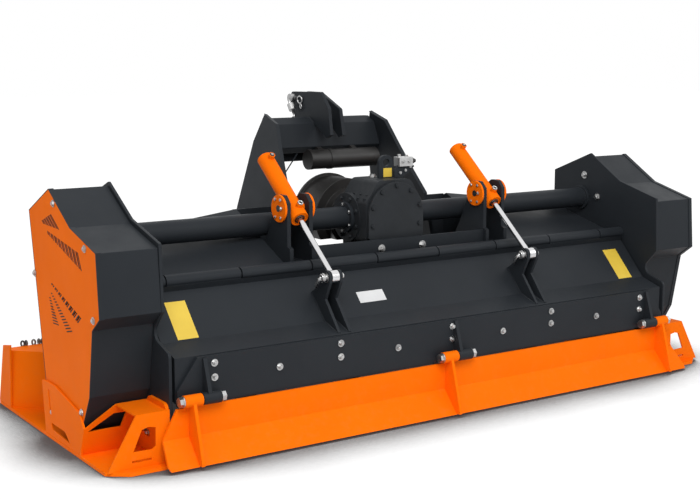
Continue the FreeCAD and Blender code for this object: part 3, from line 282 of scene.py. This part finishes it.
def node_material(name):
    """The paint or metal of a CAD node, by its name."""
    if name.startswith(ORANGE_NODES):
        return ORANGE
    if name.startswith(ZINC_NODES):
        return ZINC
    if name in ("gearbox", "gearbox_cover"):
        return IRON
    if name.startswith("cylinder_rod"):
        return CHROME
    if name in ("rotor", "crushing_bar"):
        return ROTOR_STEEL
    if name in ("document_tube", "pto_guard"):
        return PLASTIC
    return DARK


def smooth_by_angle():
    """A modifier's node group that shades smooth, apart from edges past the limit."""
    group = bpy.data.node_groups.new("smooth_by_angle", "GeometryNodeTree")
    group.interface.new_socket("Geometry", in_out="INPUT", socket_type="NodeSocketGeometry")
    group.interface.new_socket("Geometry", in_out="OUTPUT", socket_type="NodeSocketGeometry")
    start = group.nodes.new("NodeGroupInput")
    end = group.nodes.new("NodeGroupOutput")
    angle = group.nodes.new("GeometryNodeInputMeshEdgeAngle")
    sharp = group.nodes.new("FunctionNodeCompare")
    sharp.operation = "GREATER_THAN"
    sharp.inputs[1].default_value = math.radians(SMOOTH_LIMIT)
    faces = group.nodes.new("GeometryNodeSetShadeSmooth")
    edges = group.nodes.new("GeometryNodeSetShadeSmooth")
    faces.domain, edges.domain = "FACE", "EDGE"
    faces.inputs["Shade Smooth"].default_value = True
    edges.inputs["Shade Smooth"].default_value = False
    group.links.new(start.outputs[0], faces.inputs["Geometry"])
    group.links.new(faces.outputs[0], edges.inputs["Geometry"])
    group.links.new(angle.outputs["Unsigned Angle"], sharp.inputs[0])
    group.links.new(sharp.outputs[0], edges.inputs["Selection"])
    group.links.new(edges.outputs[0], end.inputs[0])
    return group


SMOOTH = smooth_by_angle()


def soften(obj, width):
    """Weld an imported mesh, clear its flat faces and give its edges a small round."""
    obj.modifiers.new("weld", "WELD").merge_threshold = 0.00002
    flat = obj.modifiers.new("flat", "DECIMATE")
    flat.decimate_type = "DISSOLVE"
    flat.angle_limit = math.radians(0.6)
    round_off = obj.modifiers.new("round", "BEVEL")
    round_off.width = width
    round_off.segments = 2
    round_off.limit_method = "ANGLE"
    round_off.angle_limit = math.radians(BEVEL_LIMIT)
    obj.modifiers.new("smooth", "NODES").node_group = SMOOTH
    even = obj.modifiers.new("even", "WEIGHTED_NORMAL")
    even.keep_sharp = True
    even.weight = 80


def bright_block(node, height):
    """The faces of the valve node above a height are its bare aluminium body."""
    node.data.materials.append(ALUMINIUM)
    for polygon in node.data.polygons:
        if (node.matrix_world @ polygon.center).z > height * MM:
            polygon.material_index = 1


for node_name, node in nodes.items():
    node.data.materials.clear()
    node.data.materials.append(node_material(node_name))
    soften(node, BROAD_ROUND if node_name.startswith(BROAD_NODES) else FINE_ROUND)
bright_block(nodes["valve_block"], BODY_FOOT)

# ------------------------------------------------------------------ small pieces as joined meshes

WASHER = 2.2                       # thickness of the washer under a bolt head


class Piece:
    """A mesh that gathers many small solids. Lengths are in millimetres, places in metres."""

    def __init__(self, name, body, *materials):
        self.name = name
        self.body = body
        self.materials = materials
        self.mesh = bmesh.new()

    def keep(self, made, matrix, material):
        """Put new vertices in place and give their faces a material."""
        for vertex in made:
            vertex.co = matrix @ vertex.co
        for face in {face for vertex in made for face in vertex.link_faces}:
            face.material_index = material
            face.smooth = False

    def prism(self, place, axis, radius, length, sides=24, material=0, top=None, turn=0.0):
        """A round or many-sided solid that starts at a place and runs along an axis."""
        made = bmesh.ops.create_cone(
            self.mesh, cap_ends=True, segments=sides, radius1=radius * MM,
            radius2=(radius if top is None else top) * MM, depth=length * MM)["verts"]
        direction = Vector(axis).normalized()
        matrix = (Matrix.Translation(place + direction * length * MM / 2)
                  @ direction.to_track_quat("Z", "Y").to_matrix().to_4x4()
                  @ Matrix.Rotation(turn, 4, "Z"))
        self.keep(made, matrix, material)

    def block(self, low, high, material=0, matrix=None):
        """A box between two corners, moved by a matrix if one is given."""
        made = bmesh.ops.create_cube(self.mesh, size=1.0)["verts"]
        middle, extent = (low + high) / 2, high - low
        shape = Matrix.Translation(middle) @ Matrix.Diagonal((*extent, 1.0))
        self.keep(made, (matrix or Matrix()) @ shape, material)

    def skin(self, first, second, material):
        """A smooth band of faces between two rows of vertices that each close on themselves."""
        for j, vertex in enumerate(first):
            following = (j + 1) % len(first)
            face = self.mesh.faces.new((vertex, first[following], second[following], second[j]))
            face.material_index = material
            face.smooth = True

    def ring(self, centre, normal, radius, wire, material=0, steps=24, section=8, tall=1.0):
        """A ring of round wire, stretched along its own Y."""
        turn = Vector(normal).normalized().to_track_quat("Z", "Y").to_matrix().to_4x4()
        rows = []
        for i in range(steps):
            a = 2 * math.pi * i / steps
            middle = Vector((math.cos(a) * radius, math.sin(a) * radius * tall, 0))
            out = Vector((math.cos(a), math.sin(a), 0))
            row = []
            for j in range(section):
                b = 2 * math.pi * j / section
                spot = middle + out * math.cos(b) * wire + Vector((0, 0, math.sin(b) * wire))
                row.append(self.mesh.verts.new(centre + turn @ (spot * MM)))
            rows.append(row)
        for i, row in enumerate(rows):
            self.skin(row, rows[(i + 1) % steps], material)

    def wire(self, points, radius, material=0, section=10):
        """Round bar along a run of points."""
        rows = []
        for i, point in enumerate(points):
            before = points[max(i - 1, 0)]
            after = points[min(i + 1, len(points) - 1)]
            turn = (after - before).to_track_quat("Z", "Y").to_matrix()
            row = []
            for j in range(section):
                a = 2 * math.pi * j / section
                offset = Vector((math.cos(a), math.sin(a), 0)) * radius * MM
                row.append(self.mesh.verts.new(point + turn @ offset))
            rows.append(row)
        for first, second in zip(rows, rows[1:]):
            self.skin(first, second, material)
        for row in (rows[0], rows[-1]):
            self.mesh.faces.new(row).material_index = material

    def sheet(self, near, far, closed=True):
        """A flat plate between two outlines. An open one has no near face, as it lies on a plate."""
        near = [self.mesh.verts.new(corner) for corner in near]
        far = [self.mesh.verts.new(corner) for corner in far]
        if closed:
            self.mesh.faces.new(near)
        self.mesh.faces.new(far)
        for k in range(len(near)):
            following = (k + 1) % len(near)
            self.mesh.faces.new((near[k], near[following], far[following], far[k]))

    def bolt(self, place, axis, size, washer=True, material=0):
        """A hexagon head on its washer, seated on a face. Its size is across flats and height."""
        # radii are shares of the width across flats; 0.577 reaches the corners of the hexagon
        across, height = size
        direction = Vector(axis).normalized()
        if washer:
            self.prism(place, axis, across * 0.86, WASHER, 28, material)
            place = place + direction * WASHER * MM
        turn = random.uniform(0, math.pi / 3)
        self.prism(place, axis, across * 0.577, height * 0.8, 6, material, turn=turn)
        self.prism(place + direction * height * 0.8 * MM, axis, across * 0.53, height * 0.2, 6, material,
                   top=across * 0.46, turn=turn)
        self.prism(place + direction * height * MM, axis, across * 0.30, 1.0, 16, material)

    def finish(self):
        """Make the object, and let it ride on its body."""
        data = bpy.data.meshes.new(self.name)
        bmesh.ops.recalc_face_normals(self.mesh, faces=self.mesh.faces)
        self.mesh.to_mesh(data)
        self.mesh.free()
        for material in self.materials:
            data.materials.append(material)
        obj = bpy.data.objects.new(self.name, data)
        scene.collection.objects.link(obj)
        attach(obj, self.body)
        return obj


# ------------------------------------------------------------------ bolts and pins of the fixed frame

# each kind of bolt by its width across flats and the height of its head
COVER_BOLT = (13, 4.6)
PLATE_BOLT = (17, 9)
SKID_BOLT = (13, 7)
SOLE_BOLT = (13, 3.6)
DISC_BOLT = (10, 4)
LOCK_BOLT = (11, 6)
COLLAR_BOLT = (11, 6)
MOUNT_BOLT = (17, 10)
ROUND_COVER_BOLT = (15, 6)
FLANGE_BOLT = (13, 6)
VALVE_BOLT = (10, 5)
WEAR_BOLT = (13, 8)

# radii of the bolt circles
DISC_CIRCLE = 34
COLLAR_CIRCLE = 46
ROUND_COVER_CIRCLE = 104
FLANGE_CIRCLE = 70

# places of single bolts
COVER_BOLTS = ((310, 733), (79, 628), (487, 500), (31, 431), (139, 141))
PLATE_BOLTS = ((376, 696), (304, 615))
SKID_BOLTS = ((78, 66), (96, 74), (-20, 60))
SOLE_BOLT_PLACE = (378, 84)
MOUNT_BOLT_X = 87

LINK_PIN_HALF = 71                 # from the middle of a lower link pin to its end


def cover_bolts(piece):
    """Five bolts in each belt cover, at its edge."""
    for _, sign in SIDES:
        for y, z in COVER_BOLTS:
            piece.bolt(at(sign * COVER_FACE, y, z), (sign, 0, 0), COVER_BOLT)


def plate_bolts(piece):
    """Bolts on the inner faces of the side plates, and on the plates and soles of the skids."""
    for _, sign in SIDES:
        for y, z in PLATE_BOLTS:
            piece.bolt(at(sign * PLATE_IN, y, z), (-sign, 0, 0), PLATE_BOLT)
        for y, z in SKID_BOLTS:
            piece.bolt(at(sign * (PLATE_OUT + 10), y, z), (sign, 0, 0), SKID_BOLT)
        piece.bolt(at(sign * (SOLE_FACE - 6), *SOLE_BOLT_PLACE), (sign, 0, 0), SOLE_BOLT)


def disc_bolts(piece):
    """Four small bolts in each disc beside the barrels, and a locking bolt near its middle."""
    y, z = TRUNNION
    for _, sign in SIDES:
        for face, outward in zip(DISC_FACES, (-1, 1)):
            x = sign * face
            axis = (sign * outward, 0, 0)
            for degrees in (60, 120, 240, 300):
                piece.bolt(at(x, *around(TRUNNION, DISC_CIRCLE, degrees)), axis, DISC_BOLT, washer=False)
            piece.bolt(at(x, y - 22, z + 2), axis, LOCK_BOLT, washer=False)


def gearbox_bolts(piece):
    """Bolts of the drive tubes' collars and of the mount bar, and the filler plug."""
    y, z = MOUNT
    for _, sign in SIDES:
        for k in range(6):
            piece.bolt(at(sign * COLLAR_X, *around(DRIVE, COLLAR_CIRCLE, 90 + 60 * k)), (sign, 0, 0),
                       COLLAR_BOLT, washer=False)
        piece.bolt(at(sign * MOUNT_BOLT_X, y, z + 3), (0, -1, 0), MOUNT_BOLT)
    piece.prism(at(-9, 391, CASTING_TOP), (0, 0, 1), 15, 4)
    piece.prism(at(-9, 391, CASTING_TOP + 4), (0, 0, 1), 10, 7, sides=6)


def link_pins(piece):
    """Lock rings and hanging handle of the top link pin, and collars and rings of the lower pins."""
    y, z = TOP_PIN
    ring_x = -(LINK_PLATE + 6)
    piece.ring(at(ring_x, y - 48, z - 5), (1, 0.15, 0.1), 13, 2.6)
    piece.ring(at(ring_x, y - 56, z - 29), (1, -0.2, 0), 8, 2.4)
    head_x = -(LINK_PLATE + 18)
    piece.prism(at(head_x, y, z), (-1, 0, 0), 17, 4)
    piece.wire([at(head_x - 4, y, z), at(head_x - 6, y - 4, z - 16), at(head_x - 4, y - 12, z - 30)], 5)
    piece.prism(at(head_x - 4, y - 8, z - 22), (0, -0.55, -0.83), 14, 26, sides=16)
    piece.wire([at(head_x, y - 16, z - 40), at(head_x - 2, y - 30, z - 66),
                at(head_x - 8, y - 22, z - 76)], 4)
    y, z = LOWER_PIN
    for _, sign in SIDES:
        for outward in (-1, 1):
            x = sign * LOWER_LINK_X + outward * LINK_PIN_HALF
            piece.prism(at(x, y, z), (outward, 0, 0), 24, 5, sides=28)
        piece.ring(at(sign * LOWER_LINK_X + 60, y, z - 22), (1, 0, 0.2), 16, 2.6)


# ------------------------------------------------------------------ welds, rims and plates of the frame

WELD = 2.6                         # radius of a weld bead
SLOPE_WELD = 3.2                   # and of a bead down the front slope of the roof
SLOPE_BEADS = (231, 249)
SLOPE_RUN = ((478, 472), (540, 443), (575, 428), (640, 366), (700, 309))
WING_FACE = 582                    # rear face of a wing plate; its outline is x and z
WING_OUTLINE = ((349, 430), (332, 490), (309, 600), (300, 636), (462, 636), (462, 418), (352, 418))
WING_THICK = 8
CASE_OUTLINE = ((4, 624), (-10, 441), (44, 400), (80, 198), (134, 102), (164, 70), (405, 70), (518, 692),
                (348, 771), (188, 674))
RIM_WIDTH = 2.2                    # how far the edge of the belt case shows round its cover
RIM_BACK, RIM_FRONT = 16, 0.6      # from the cover's face inwards and outwards
SHARPEST_MITRE = 0.4               # keeps the rim's corners short where the outline turns sharply


def weld_beads(piece):
    """Welds on the roof, at the side plates and cylinder brackets, and at the top link plates."""
    top = ROOF_TOP + 1
    for _, sign in SIDES:
        for x in SLOPE_BEADS:
            piece.wire([at(sign * x, y, z) for y, z in SLOPE_RUN], SLOPE_WELD, section=6)
        x = sign * (PLATE_IN - 1)
        for y in (222, 300, 400):
            piece.wire([at(x, y - 8, top), at(x, y + 70, top)], WELD, section=6)
        for offset in (-50, -34, 34, 50):
            x = sign * (CYLINDER_X + offset)
            piece.wire([at(x, 226, top), at(x, 396, top)], WELD, section=6)
        for x in (sign * (LINK_PLATE - 15), sign * (LINK_PLATE + 1)):
            piece.wire([at(x, BEAM_REAR + 14, 914), at(x, BEAM_REAR + 46, 936),
                        at(x, BEAM_REAR + 70, 936), at(x, BEAM_REAR + 82, 877)], WELD, section=6)


def wing_plates(piece):
    """Upright plates that join the side beams to the headstock."""
    thick = Vector((0, WING_THICK, 0)) * MM
    for _, sign in SIDES:
        near = [at(sign * x, WING_FACE, z) for x, z in WING_OUTLINE]
        piece.sheet(near, [corner + thick for corner in near])


def widened(outline, width):
    """The corners of an outline, moved outwards."""
    moved = []
    for before, point, after in zip(outline[-1:] + outline, outline, outline[1:] + outline[:1]):
        normals = []
        for first, second in ((before, point), (point, after)):
            run = (second - first).normalized()
            normals.append(Vector((-run.y, run.x)))
        corner = (normals[0] + normals[1]).normalized()
        moved.append(point - corner * width / max(corner.dot(normals[0]), SHARPEST_MITRE))
    return moved


def case_rims(piece):
    """The edge of the belt case that stands round its cover."""
    points = [Vector(point) for point in CASE_OUTLINE]
    outer = widened(points, RIM_WIDTH)
    for _, sign in SIDES:
        for i, point in enumerate(points):
            following = (i + 1) % len(points)
            base = (point, outer[i], outer[following], points[following])
            near, far = ([at(sign * x, *spot) for spot in base]
                         for x in (COVER_FACE - RIM_BACK, COVER_FACE + RIM_FRONT))
            piece.sheet(near, far)


def stay(piece):
    """The wire stay beside the left upright."""
    piece.wire([at(-118, BEAM_REAR + 6, 806), at(-166, BEAM_REAR, 749), at(-222, BEAM_REAR - 6, 684)],
               2.5, section=8)


# ------------------------------------------------------------------ gearbox, vents, chains and a label

# each wedge of slits: its tip, the upper and lower ends of its last slit, and the number of slits
VENTS = (((432, 664), (329, 701), (262, 660), 10), ((430, 655), (123, 609), (97, 558), 18),
         ((404, 508), (140, 400), (113, 420), 16), ((388, 484), (186, 366), (230, 356), 14),
         ((378, 464), (296, 364), (344, 362), 10))
SLIT_START = 0.2                   # where the first slit lies on the way from the tip to the ends
SLIT_SHARE = 0.42                  # how much of its pitch a slit takes
SLIT_HEIGHT = 0.3
NOSE_LINKS = (1150, 1138, 1112, 1094, 1080)
RAIL_FACE = 820                    # front face of the rail that carries the chains
CHAIN_PITCH = 44
CHAIN_COUNT = 44
LINKS = 7                          # in each chain
LINK_DROP = 23.5


def casting_detail(piece):
    """Dark bolts in the gearbox's round cover and flanges, and ribs of the casting."""
    for degrees in (18, 54, 90, 126, 162, 198, 342):
        x, z = around(COVER, ROUND_COVER_CIRCLE, degrees)
        piece.bolt(at(x, COVER_Y, z), (0, -1, 0), ROUND_COVER_BOLT, washer=False)
    for _, sign in SIDES:
        for k in range(8):
            piece.bolt(at(sign * FLANGE_X, *around(DRIVE, FLANGE_CIRCLE, 22.5 + 45 * k)), (sign, 0, 0),
                       FLANGE_BOLT, washer=False)
        for y in (292, 330, 368):
            for k in range(3):
                inner, outer, foot = 66, 116 - 12 * k, 668 + 12 * k
                left, right = (inner, outer) if sign > 0 else (-outer, -inner)
                piece.block(at(left, y - 4, foot), at(right, y + 4, foot + 12))


def valve_detail(piece):
    """Coil, plugs and hose ends of the valve on the gearbox, and the bolts of its plate."""
    top = CASTING_TOP + 71
    middle = CASTING_TOP + 55
    piece.prism(at(72, VALVE_Y, top), (0, 0, 1), 7, 9, sides=6, material=1)
    piece.prism(at(104, VALVE_Y, top), (0, 0, 1), 6, 6, sides=16, material=1)
    piece.prism(at(120, VALVE_Y, middle), (1, 0, 0), 10, 14, sides=20)
    piece.prism(at(134, VALVE_Y, middle), (1, 0, 0), 7, 8, sides=6)
    for x in (78, 104):
        piece.prism(at(x, VALVE_FACE, middle), (0, -1, 0), 7, 4, sides=6, material=1)
        piece.prism(at(x, VALVE_FACE - 4, middle), (0, -1, 0), 4.5, 3, sides=16, material=1)
    for x, z in ((70, 756), (92, 764), (114, 776)):
        piece.bolt(at(x, 335, z), (0, -1, 0), VALVE_BOLT, washer=False, material=1)


def painted_slit_shades(piece):
    """Painted shade of narrow slits: thin dark sheets that fan out in wedges over both belt covers."""
    reach = 1 - SLIT_START
    for tip, high, low, count in VENTS:
        for k in range(count):
            near = SLIT_START + reach * k / count
            far = near + SLIT_SHARE * reach / count
            slit = [(tip[0] + (end[0] - tip[0]) * share, tip[1] + (end[1] - tip[1]) * share)
                    for end, share in ((high, near), (high, far), (low, far), (low, near))]
            for _, sign in SIDES:
                bottom, top = ([at(sign * x, y, z) for y, z in slit]
                               for x in (COVER_FACE, COVER_FACE + SLIT_HEIGHT))
                piece.sheet(bottom, top, closed=False)


def nose_links(piece):
    """End links of the side chains, hooked over the noses of the skids."""
    for _, sign in SIDES:
        for k, x in enumerate(NOSE_LINKS):
            normal = (1, 0.3, 0) if k % 2 else (0.5, 1, 0)
            piece.ring(at(sign * x, *NOSE), normal, 5.5, 3.2, steps=14, section=6, tall=1.6)


def chain_links(piece):
    """Steel chains across the front: seven links hang from each shackle of the rail."""
    piece.block(at(-1006, RAIL_FACE - 8, 187), at(1006, RAIL_FACE, 209), material=1)
    for k in range(CHAIN_COUNT):
        x = (k - (CHAIN_COUNT - 1) / 2) * CHAIN_PITCH
        piece.prism(at(x, RAIL_FACE, 196), (0, 1, 0), 7, 7, sides=6)
        for link in range(LINKS):
            normal = (1, 0.12, 0) if link % 2 else (0.12, 1, 0)
            piece.ring(at(x, RAIL_FACE + 2, 191 - LINK_DROP * link), normal, 7.6, 3.1,
                       steps=12, section=6, tall=2.0)


def lug_label(piece):
    """A blank sticker on the lifting lug."""
    piece.block(at(5, LUG_FACE - 0.7, 743), at(41, LUG_FACE, 774))


# ------------------------------------------------------------------ fittings of the hood and its flap

WEAR_PITCH = 220                   # between the columns of bolts in the wear plate
HIGH_ROW, LOW_ROW = 284, 241       # heights of the rows of bolts
WEAR_END = 999
EDGE_LOW, EDGE_HIGH = 168, 172.5   # heights of the edge below the wear plate
NUT_ROOM = 16                      # wider gaps at the hinges' nuts, apart from the two outer ends
YELLOW_STICKER = (34, 66)          # half the width and half the height
WHITE_STICKER = (52, 21)
FILM_BACK, FILM_FACE = 0.1, 0.6    # heights of a sticker's faces above the skin


def wear_bolts(piece):
    """Nine columns of bolts on the wear plate, in turn two bolts and one."""
    for k in range(-4, 5):
        for z in (LOW_ROW,) if k % 2 else (HIGH_ROW, LOW_ROW):
            piece.bolt(at(k * WEAR_PITCH, WEAR_FACE, z), (0, -1, 0), WEAR_BOLT)


def hinge_nuts(piece):
    """Washers and nuts on both ends of the flap's three pins."""
    for middle in (-FLAP_HINGE_X, 0, FLAP_HINGE_X):
        for sign in (-1, 1):
            x = middle + sign * (SLEEVE + 3)
            piece.prism(at(x, *FLAP_HINGE), (sign, 0, 0), 16.5, 3, sides=28)
            piece.prism(at(x + sign * 3, *FLAP_HINGE), (sign, 0, 0), 15, 11, sides=6, turn=0.3)


def rod_pin_handles(piece):
    """Washers and a ring on each rod pin, and a bent handle that hangs from it."""
    y, z = EYE
    for _, sign in SIDES:
        for outward in (-1, 1):
            piece.prism(at(sign * CYLINDER_X + outward * 25.5, y, z), (outward, 0, 0), 16, 2.5)
        x = sign * CYLINDER_X - 36
        piece.prism(at(x, y, z), (-1, 0, 0), 15, 5)
        piece.ring(at(x - 6, y, z), (1, 0, 0.1), 10, 3.2)
        piece.wire([at(x - 2, y + 4, z + 2), at(x - 8, y + 16, z - 10), at(x - 9, y + 26, z - 26),
                    at(x - 4, y + 34, z - 34)], 5)


def rod_plate_welds(piece):
    """Fillet welds at the feet of the rod plates."""
    for _, sign in SIDES:
        for offset in (-15, -25, 15, 25):
            x = sign * CYLINDER_X + offset
            piece.wire([at(x, -33, 312), at(x, 41, 336), at(x, 117, 418)], WELD, section=6)


def wear_edge(piece):
    """The lower edge of the wear plate, down to just above the flap, with gaps for the hinges."""
    nut = SLEEVE + NUT_ROOM
    for left, right in ((-WEAR_END, -FLAP_HINGE_X - SLEEVE), (-FLAP_HINGE_X + nut, -nut),
                        (nut, FLAP_HINGE_X - nut), (FLAP_HINGE_X + SLEEVE, WEAR_END)):
        piece.block(at(left, WEAR_FACE + 0.4, EDGE_LOW), at(right, WEAR_FACE + 11, EDGE_HIGH))


def skin_matrix(x, share):
    """A place on the hood's sloping skin, with local X across, Y up the slope and Z outwards."""
    low = at(x, *LEDGE)
    high = at(x, *CREASE)
    up = (high - low).normalized()
    across = Vector((1, 0, 0))
    turn = Matrix((across, up, across.cross(up))).transposed().to_4x4()
    return Matrix.Translation(low.lerp(high, share)) @ turn


def sticker(piece, size, material, matrix):
    """A blank film label on a skin."""
    width, height = (half * MM for half in size)
    piece.block(Vector((-width, -height, FILM_BACK * MM)), Vector((width, height, FILM_FACE * MM)),
                material, matrix)


def hood_labels(piece):
    """Blank yellow stickers at both ends of the sloping skin, and a blank white one."""
    for _, sign in SIDES:
        sticker(piece, YELLOW_STICKER, 0, skin_matrix(sign * 911, 0.41))
    sticker(piece, WHITE_STICKER, 1, skin_matrix(-224, 0.40))


# ------------------------------------------------------------------ fittings of the cylinders

# places along a barrel from its trunnion, and heights above its middle
FRONT_PORT, FRONT_TOP = -22, 40
REAR_PORT, REAR_TOP = 207, 42
GLAND_END = 231
HEAD_END = -52
TRUNNION_END = 57


def barrel_fittings(piece, sign):
    """A hose end on the front port, a plug in the rear port, rings and the trunnion's hollow ends."""
    run = Vector((0, TRUNNION[0] - EYE[0], TRUNNION[1] - EYE[1])).normalized()
    up = Vector((0, -run.z, run.y))
    middle = at(sign * CYLINDER_X, *TRUNNION)
    front = middle + run * FRONT_PORT * MM + up * FRONT_TOP * MM
    piece.prism(front, up, 10, 5, sides=6)
    piece.ring(front + up * 5 * MM, up, 7.5, 2.6)
    piece.prism(front + up * 4.4 * MM, up, 6, 1.2, sides=20, material=1)
    rear = middle + run * REAR_PORT * MM + up * REAR_TOP * MM
    piece.prism(rear, up, 8, 1.0, sides=20, material=1)
    piece.prism(rear, up, 5, 3.0, sides=6)
    piece.ring(middle + run * GLAND_END * MM, run, 26.5, 1.8, material=2, steps=40, section=6)
    piece.ring(middle + run * HEAD_END * MM, run, 28, 2.0, material=2, steps=40, section=6)
    piece.ring(middle + run * (HEAD_END - 1) * MM, run, 15, 3.0, material=1, steps=32, section=6)
    for outward in (-1, 1):
        end = middle + Vector((outward * TRUNNION_END * MM, 0, 0))
        piece.prism(end, (outward, 0, 0), 11, 0.8, sides=28, material=1)


# ------------------------------------------------------------------ build the pieces

def build(name, body, materials, *makers):
    """One piece, with the fittings that its makers add in turn."""
    piece = Piece(name, body, *materials)
    for make in makers:
        make(piece)
    return piece.finish()


build("frame_bolts", "frame", [ZINC], cover_bolts, plate_bolts, disc_bolts, gearbox_bolts, link_pins)
build("frame_welds", "frame", [DARK], weld_beads, wing_plates, case_rims, stay)
build("gearbox_detail", "frame", [IRON], casting_detail)
build("valve_detail", "frame", [PLASTIC, ZINC], valve_detail)
# thin dark sheets on the covers, with painted shade for the vent slits
build("painted_slit_shades", "frame", [SLIT_SHADE], painted_slit_shades)
build("side_chain_links", "frame", [ROTOR_STEEL], nose_links)
build("lug_label", "frame", [YELLOW], lug_label)
chains = build("chains", "frame", [ZINC, DARK], chain_links)
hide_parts("chain_curtain")
build("hood_bolts", "rear_hood", [ZINC], wear_bolts, hinge_nuts, rod_pin_handles)
build("hood_welds", "rear_hood", [DARK], rod_plate_welds, wear_edge)
build("hood_labels", "rear_hood", [YELLOW, WHITE], hood_labels)
for side, sign in SIDES:
    barrel = Piece("barrel_fittings_" + side, "cylinder_barrel_" + side, ZINC, PLASTIC, ORANGE)
    barrel_fittings(barrel, sign)
    barrel.finish()

# ------------------------------------------------------------------ floor, light and camera

SHADOW_REACH = 0.42                # how near a face has to be to darken the floor with painted shadow, in metres
PURE_WHITE = (1.0, 1.0, 1.0, 1.0)


def floor_material():
    """Pale grey for light that bounces; the camera sees white with a painted soft contact shadow, darker
    where ambient occlusion finds faces near.
    """
    m = Nodes("floor")
    m.set(Base_Color=m.mix(m.patches(0.4, low=0.3, high=0.7), (0.66, 0.66, 0.66), (0.70, 0.70, 0.70)))
    m.set(Roughness=0.95, Specular_IOR_Level=0.05)
    m.set(Emission_Color=PURE_WHITE, Emission_Strength=0.10)
    near = m.add("ShaderNodeAmbientOcclusion", samples=16)
    near.inputs["Distance"].default_value = SHADOW_REACH
    # painted shadow: for camera rays the floor goes from white towards near black where faces are close
    painted_shadow_openness = m.spread(near.outputs["AO"], 0.62, 0.86)
    painted_shadow_glow = m.add("ShaderNodeEmission")
    m.link(m.mix(painted_shadow_openness, (0.02, 0.02, 0.021), (1.08, 1.08, 1.08)), painted_shadow_glow.inputs["Color"])
    distance = m.add("ShaderNodeVectorMath", operation="LENGTH")
    m.link(m.place(), distance.inputs[0])
    far = m.spread(distance.outputs["Value"], 1.7, 3.0, 0.88, 1.0)
    path = m.add("ShaderNodeLightPath")
    blend = m.add("ShaderNodeMixShader")
    m.link(m.times(far, path.outputs["Is Camera Ray"]), blend.inputs["Fac"])
    m.link(m.shader.outputs[0], blend.inputs[1])
    m.link(painted_shadow_glow.outputs[0], blend.inputs[2])
    m.link(blend.outputs[0], m.tree.nodes["Material Output"].inputs["Surface"])
    return m.material


def plain_floor():
    """A floor that turns into the white of the background away from the machine."""
    bpy.ops.mesh.primitive_plane_add(size=60.0, location=(0, 0, -0.0005))
    floor = bpy.context.object
    floor.name = "floor"
    floor.data.materials.append(floor_material())


def area_light(name, place, aim, size, power):
    """A rectangular lamp that points at a place."""
    data = bpy.data.lights.new(name, "AREA")
    data.shape = "RECTANGLE"
    data.size, data.size_y = size
    data.energy = power
    light = bpy.data.objects.new(name, data)
    scene.collection.objects.link(light)
    light.location = place
    light.rotation_euler = (Vector(aim) - Vector(place)).to_track_quat("-Z", "Y").to_euler()
    return light


def studio_lights():
    """A broad key from the rear left, a weak fill from the rear right, and a front rim."""
    area_light("key", place=(-1.6, -3.4, 3.8), aim=(0, 0, 0.3), size=(3.0, 2.4), power=165)
    area_light("fill", place=(3.6, -3.0, 2.8), aim=(0, 0, 0.4), size=(3.0, 2.0), power=28)
    rim = area_light("rim", place=(0.5, 3.4, 4.0), aim=(0, 0, 0.5), size=(3.0, 1.6), power=90)
    rim.visible_glossy = False     # it leaves no highlights


def world_light():
    """Soft even light, and pure white for the camera and for reflections."""
    world = bpy.data.worlds.new("studio")
    scene.world = world
    world.use_nodes = True
    tree = world.node_tree
    tree.nodes.clear()
    out = tree.nodes.new("ShaderNodeOutputWorld")
    mix = tree.nodes.new("ShaderNodeMixShader")
    path = tree.nodes.new("ShaderNodeLightPath")
    either = tree.nodes.new("ShaderNodeMath")
    either.operation = "MAXIMUM"
    soft = tree.nodes.new("ShaderNodeBackground")
    white = tree.nodes.new("ShaderNodeBackground")
    soft.inputs["Color"].default_value = (0.97, 0.985, 1.0, 1.0)
    soft.inputs["Strength"].default_value = 0.56
    white.inputs["Color"].default_value = PURE_WHITE
    white.inputs["Strength"].default_value = 1.0
    tree.links.new(path.outputs["Is Camera Ray"], either.inputs[0])
    tree.links.new(path.outputs["Is Glossy Ray"], either.inputs[1])
    tree.links.new(either.outputs[0], mix.inputs["Fac"])
    tree.links.new(soft.outputs[0], mix.inputs[1])
    tree.links.new(white.outputs[0], mix.inputs[2])
    tree.links.new(mix.outputs[0], out.inputs["Surface"])


def camera():
    """The photograph's view, from behind the machine and to its left."""
    down, roll, heading = 8.94, -0.08, -34.05
    data = bpy.data.cameras.new("camera")
    data.sensor_width = 36.0
    data.lens = 63.57
    data.clip_end = 200.0
    view = bpy.data.objects.new("camera", data)
    scene.collection.objects.link(view)
    view.location = (-2.507, -3.163 - MID_Y * MM, 1.163)
    view.rotation_euler = (math.radians(90 - down), math.radians(roll), math.radians(heading))
    scene.camera = view


plain_floor()
studio_lights()
world_light()
camera()
scene.view_settings.view_transform = "Standard"
scene.view_settings.look = "None"
scene.cycles.max_bounces = 8
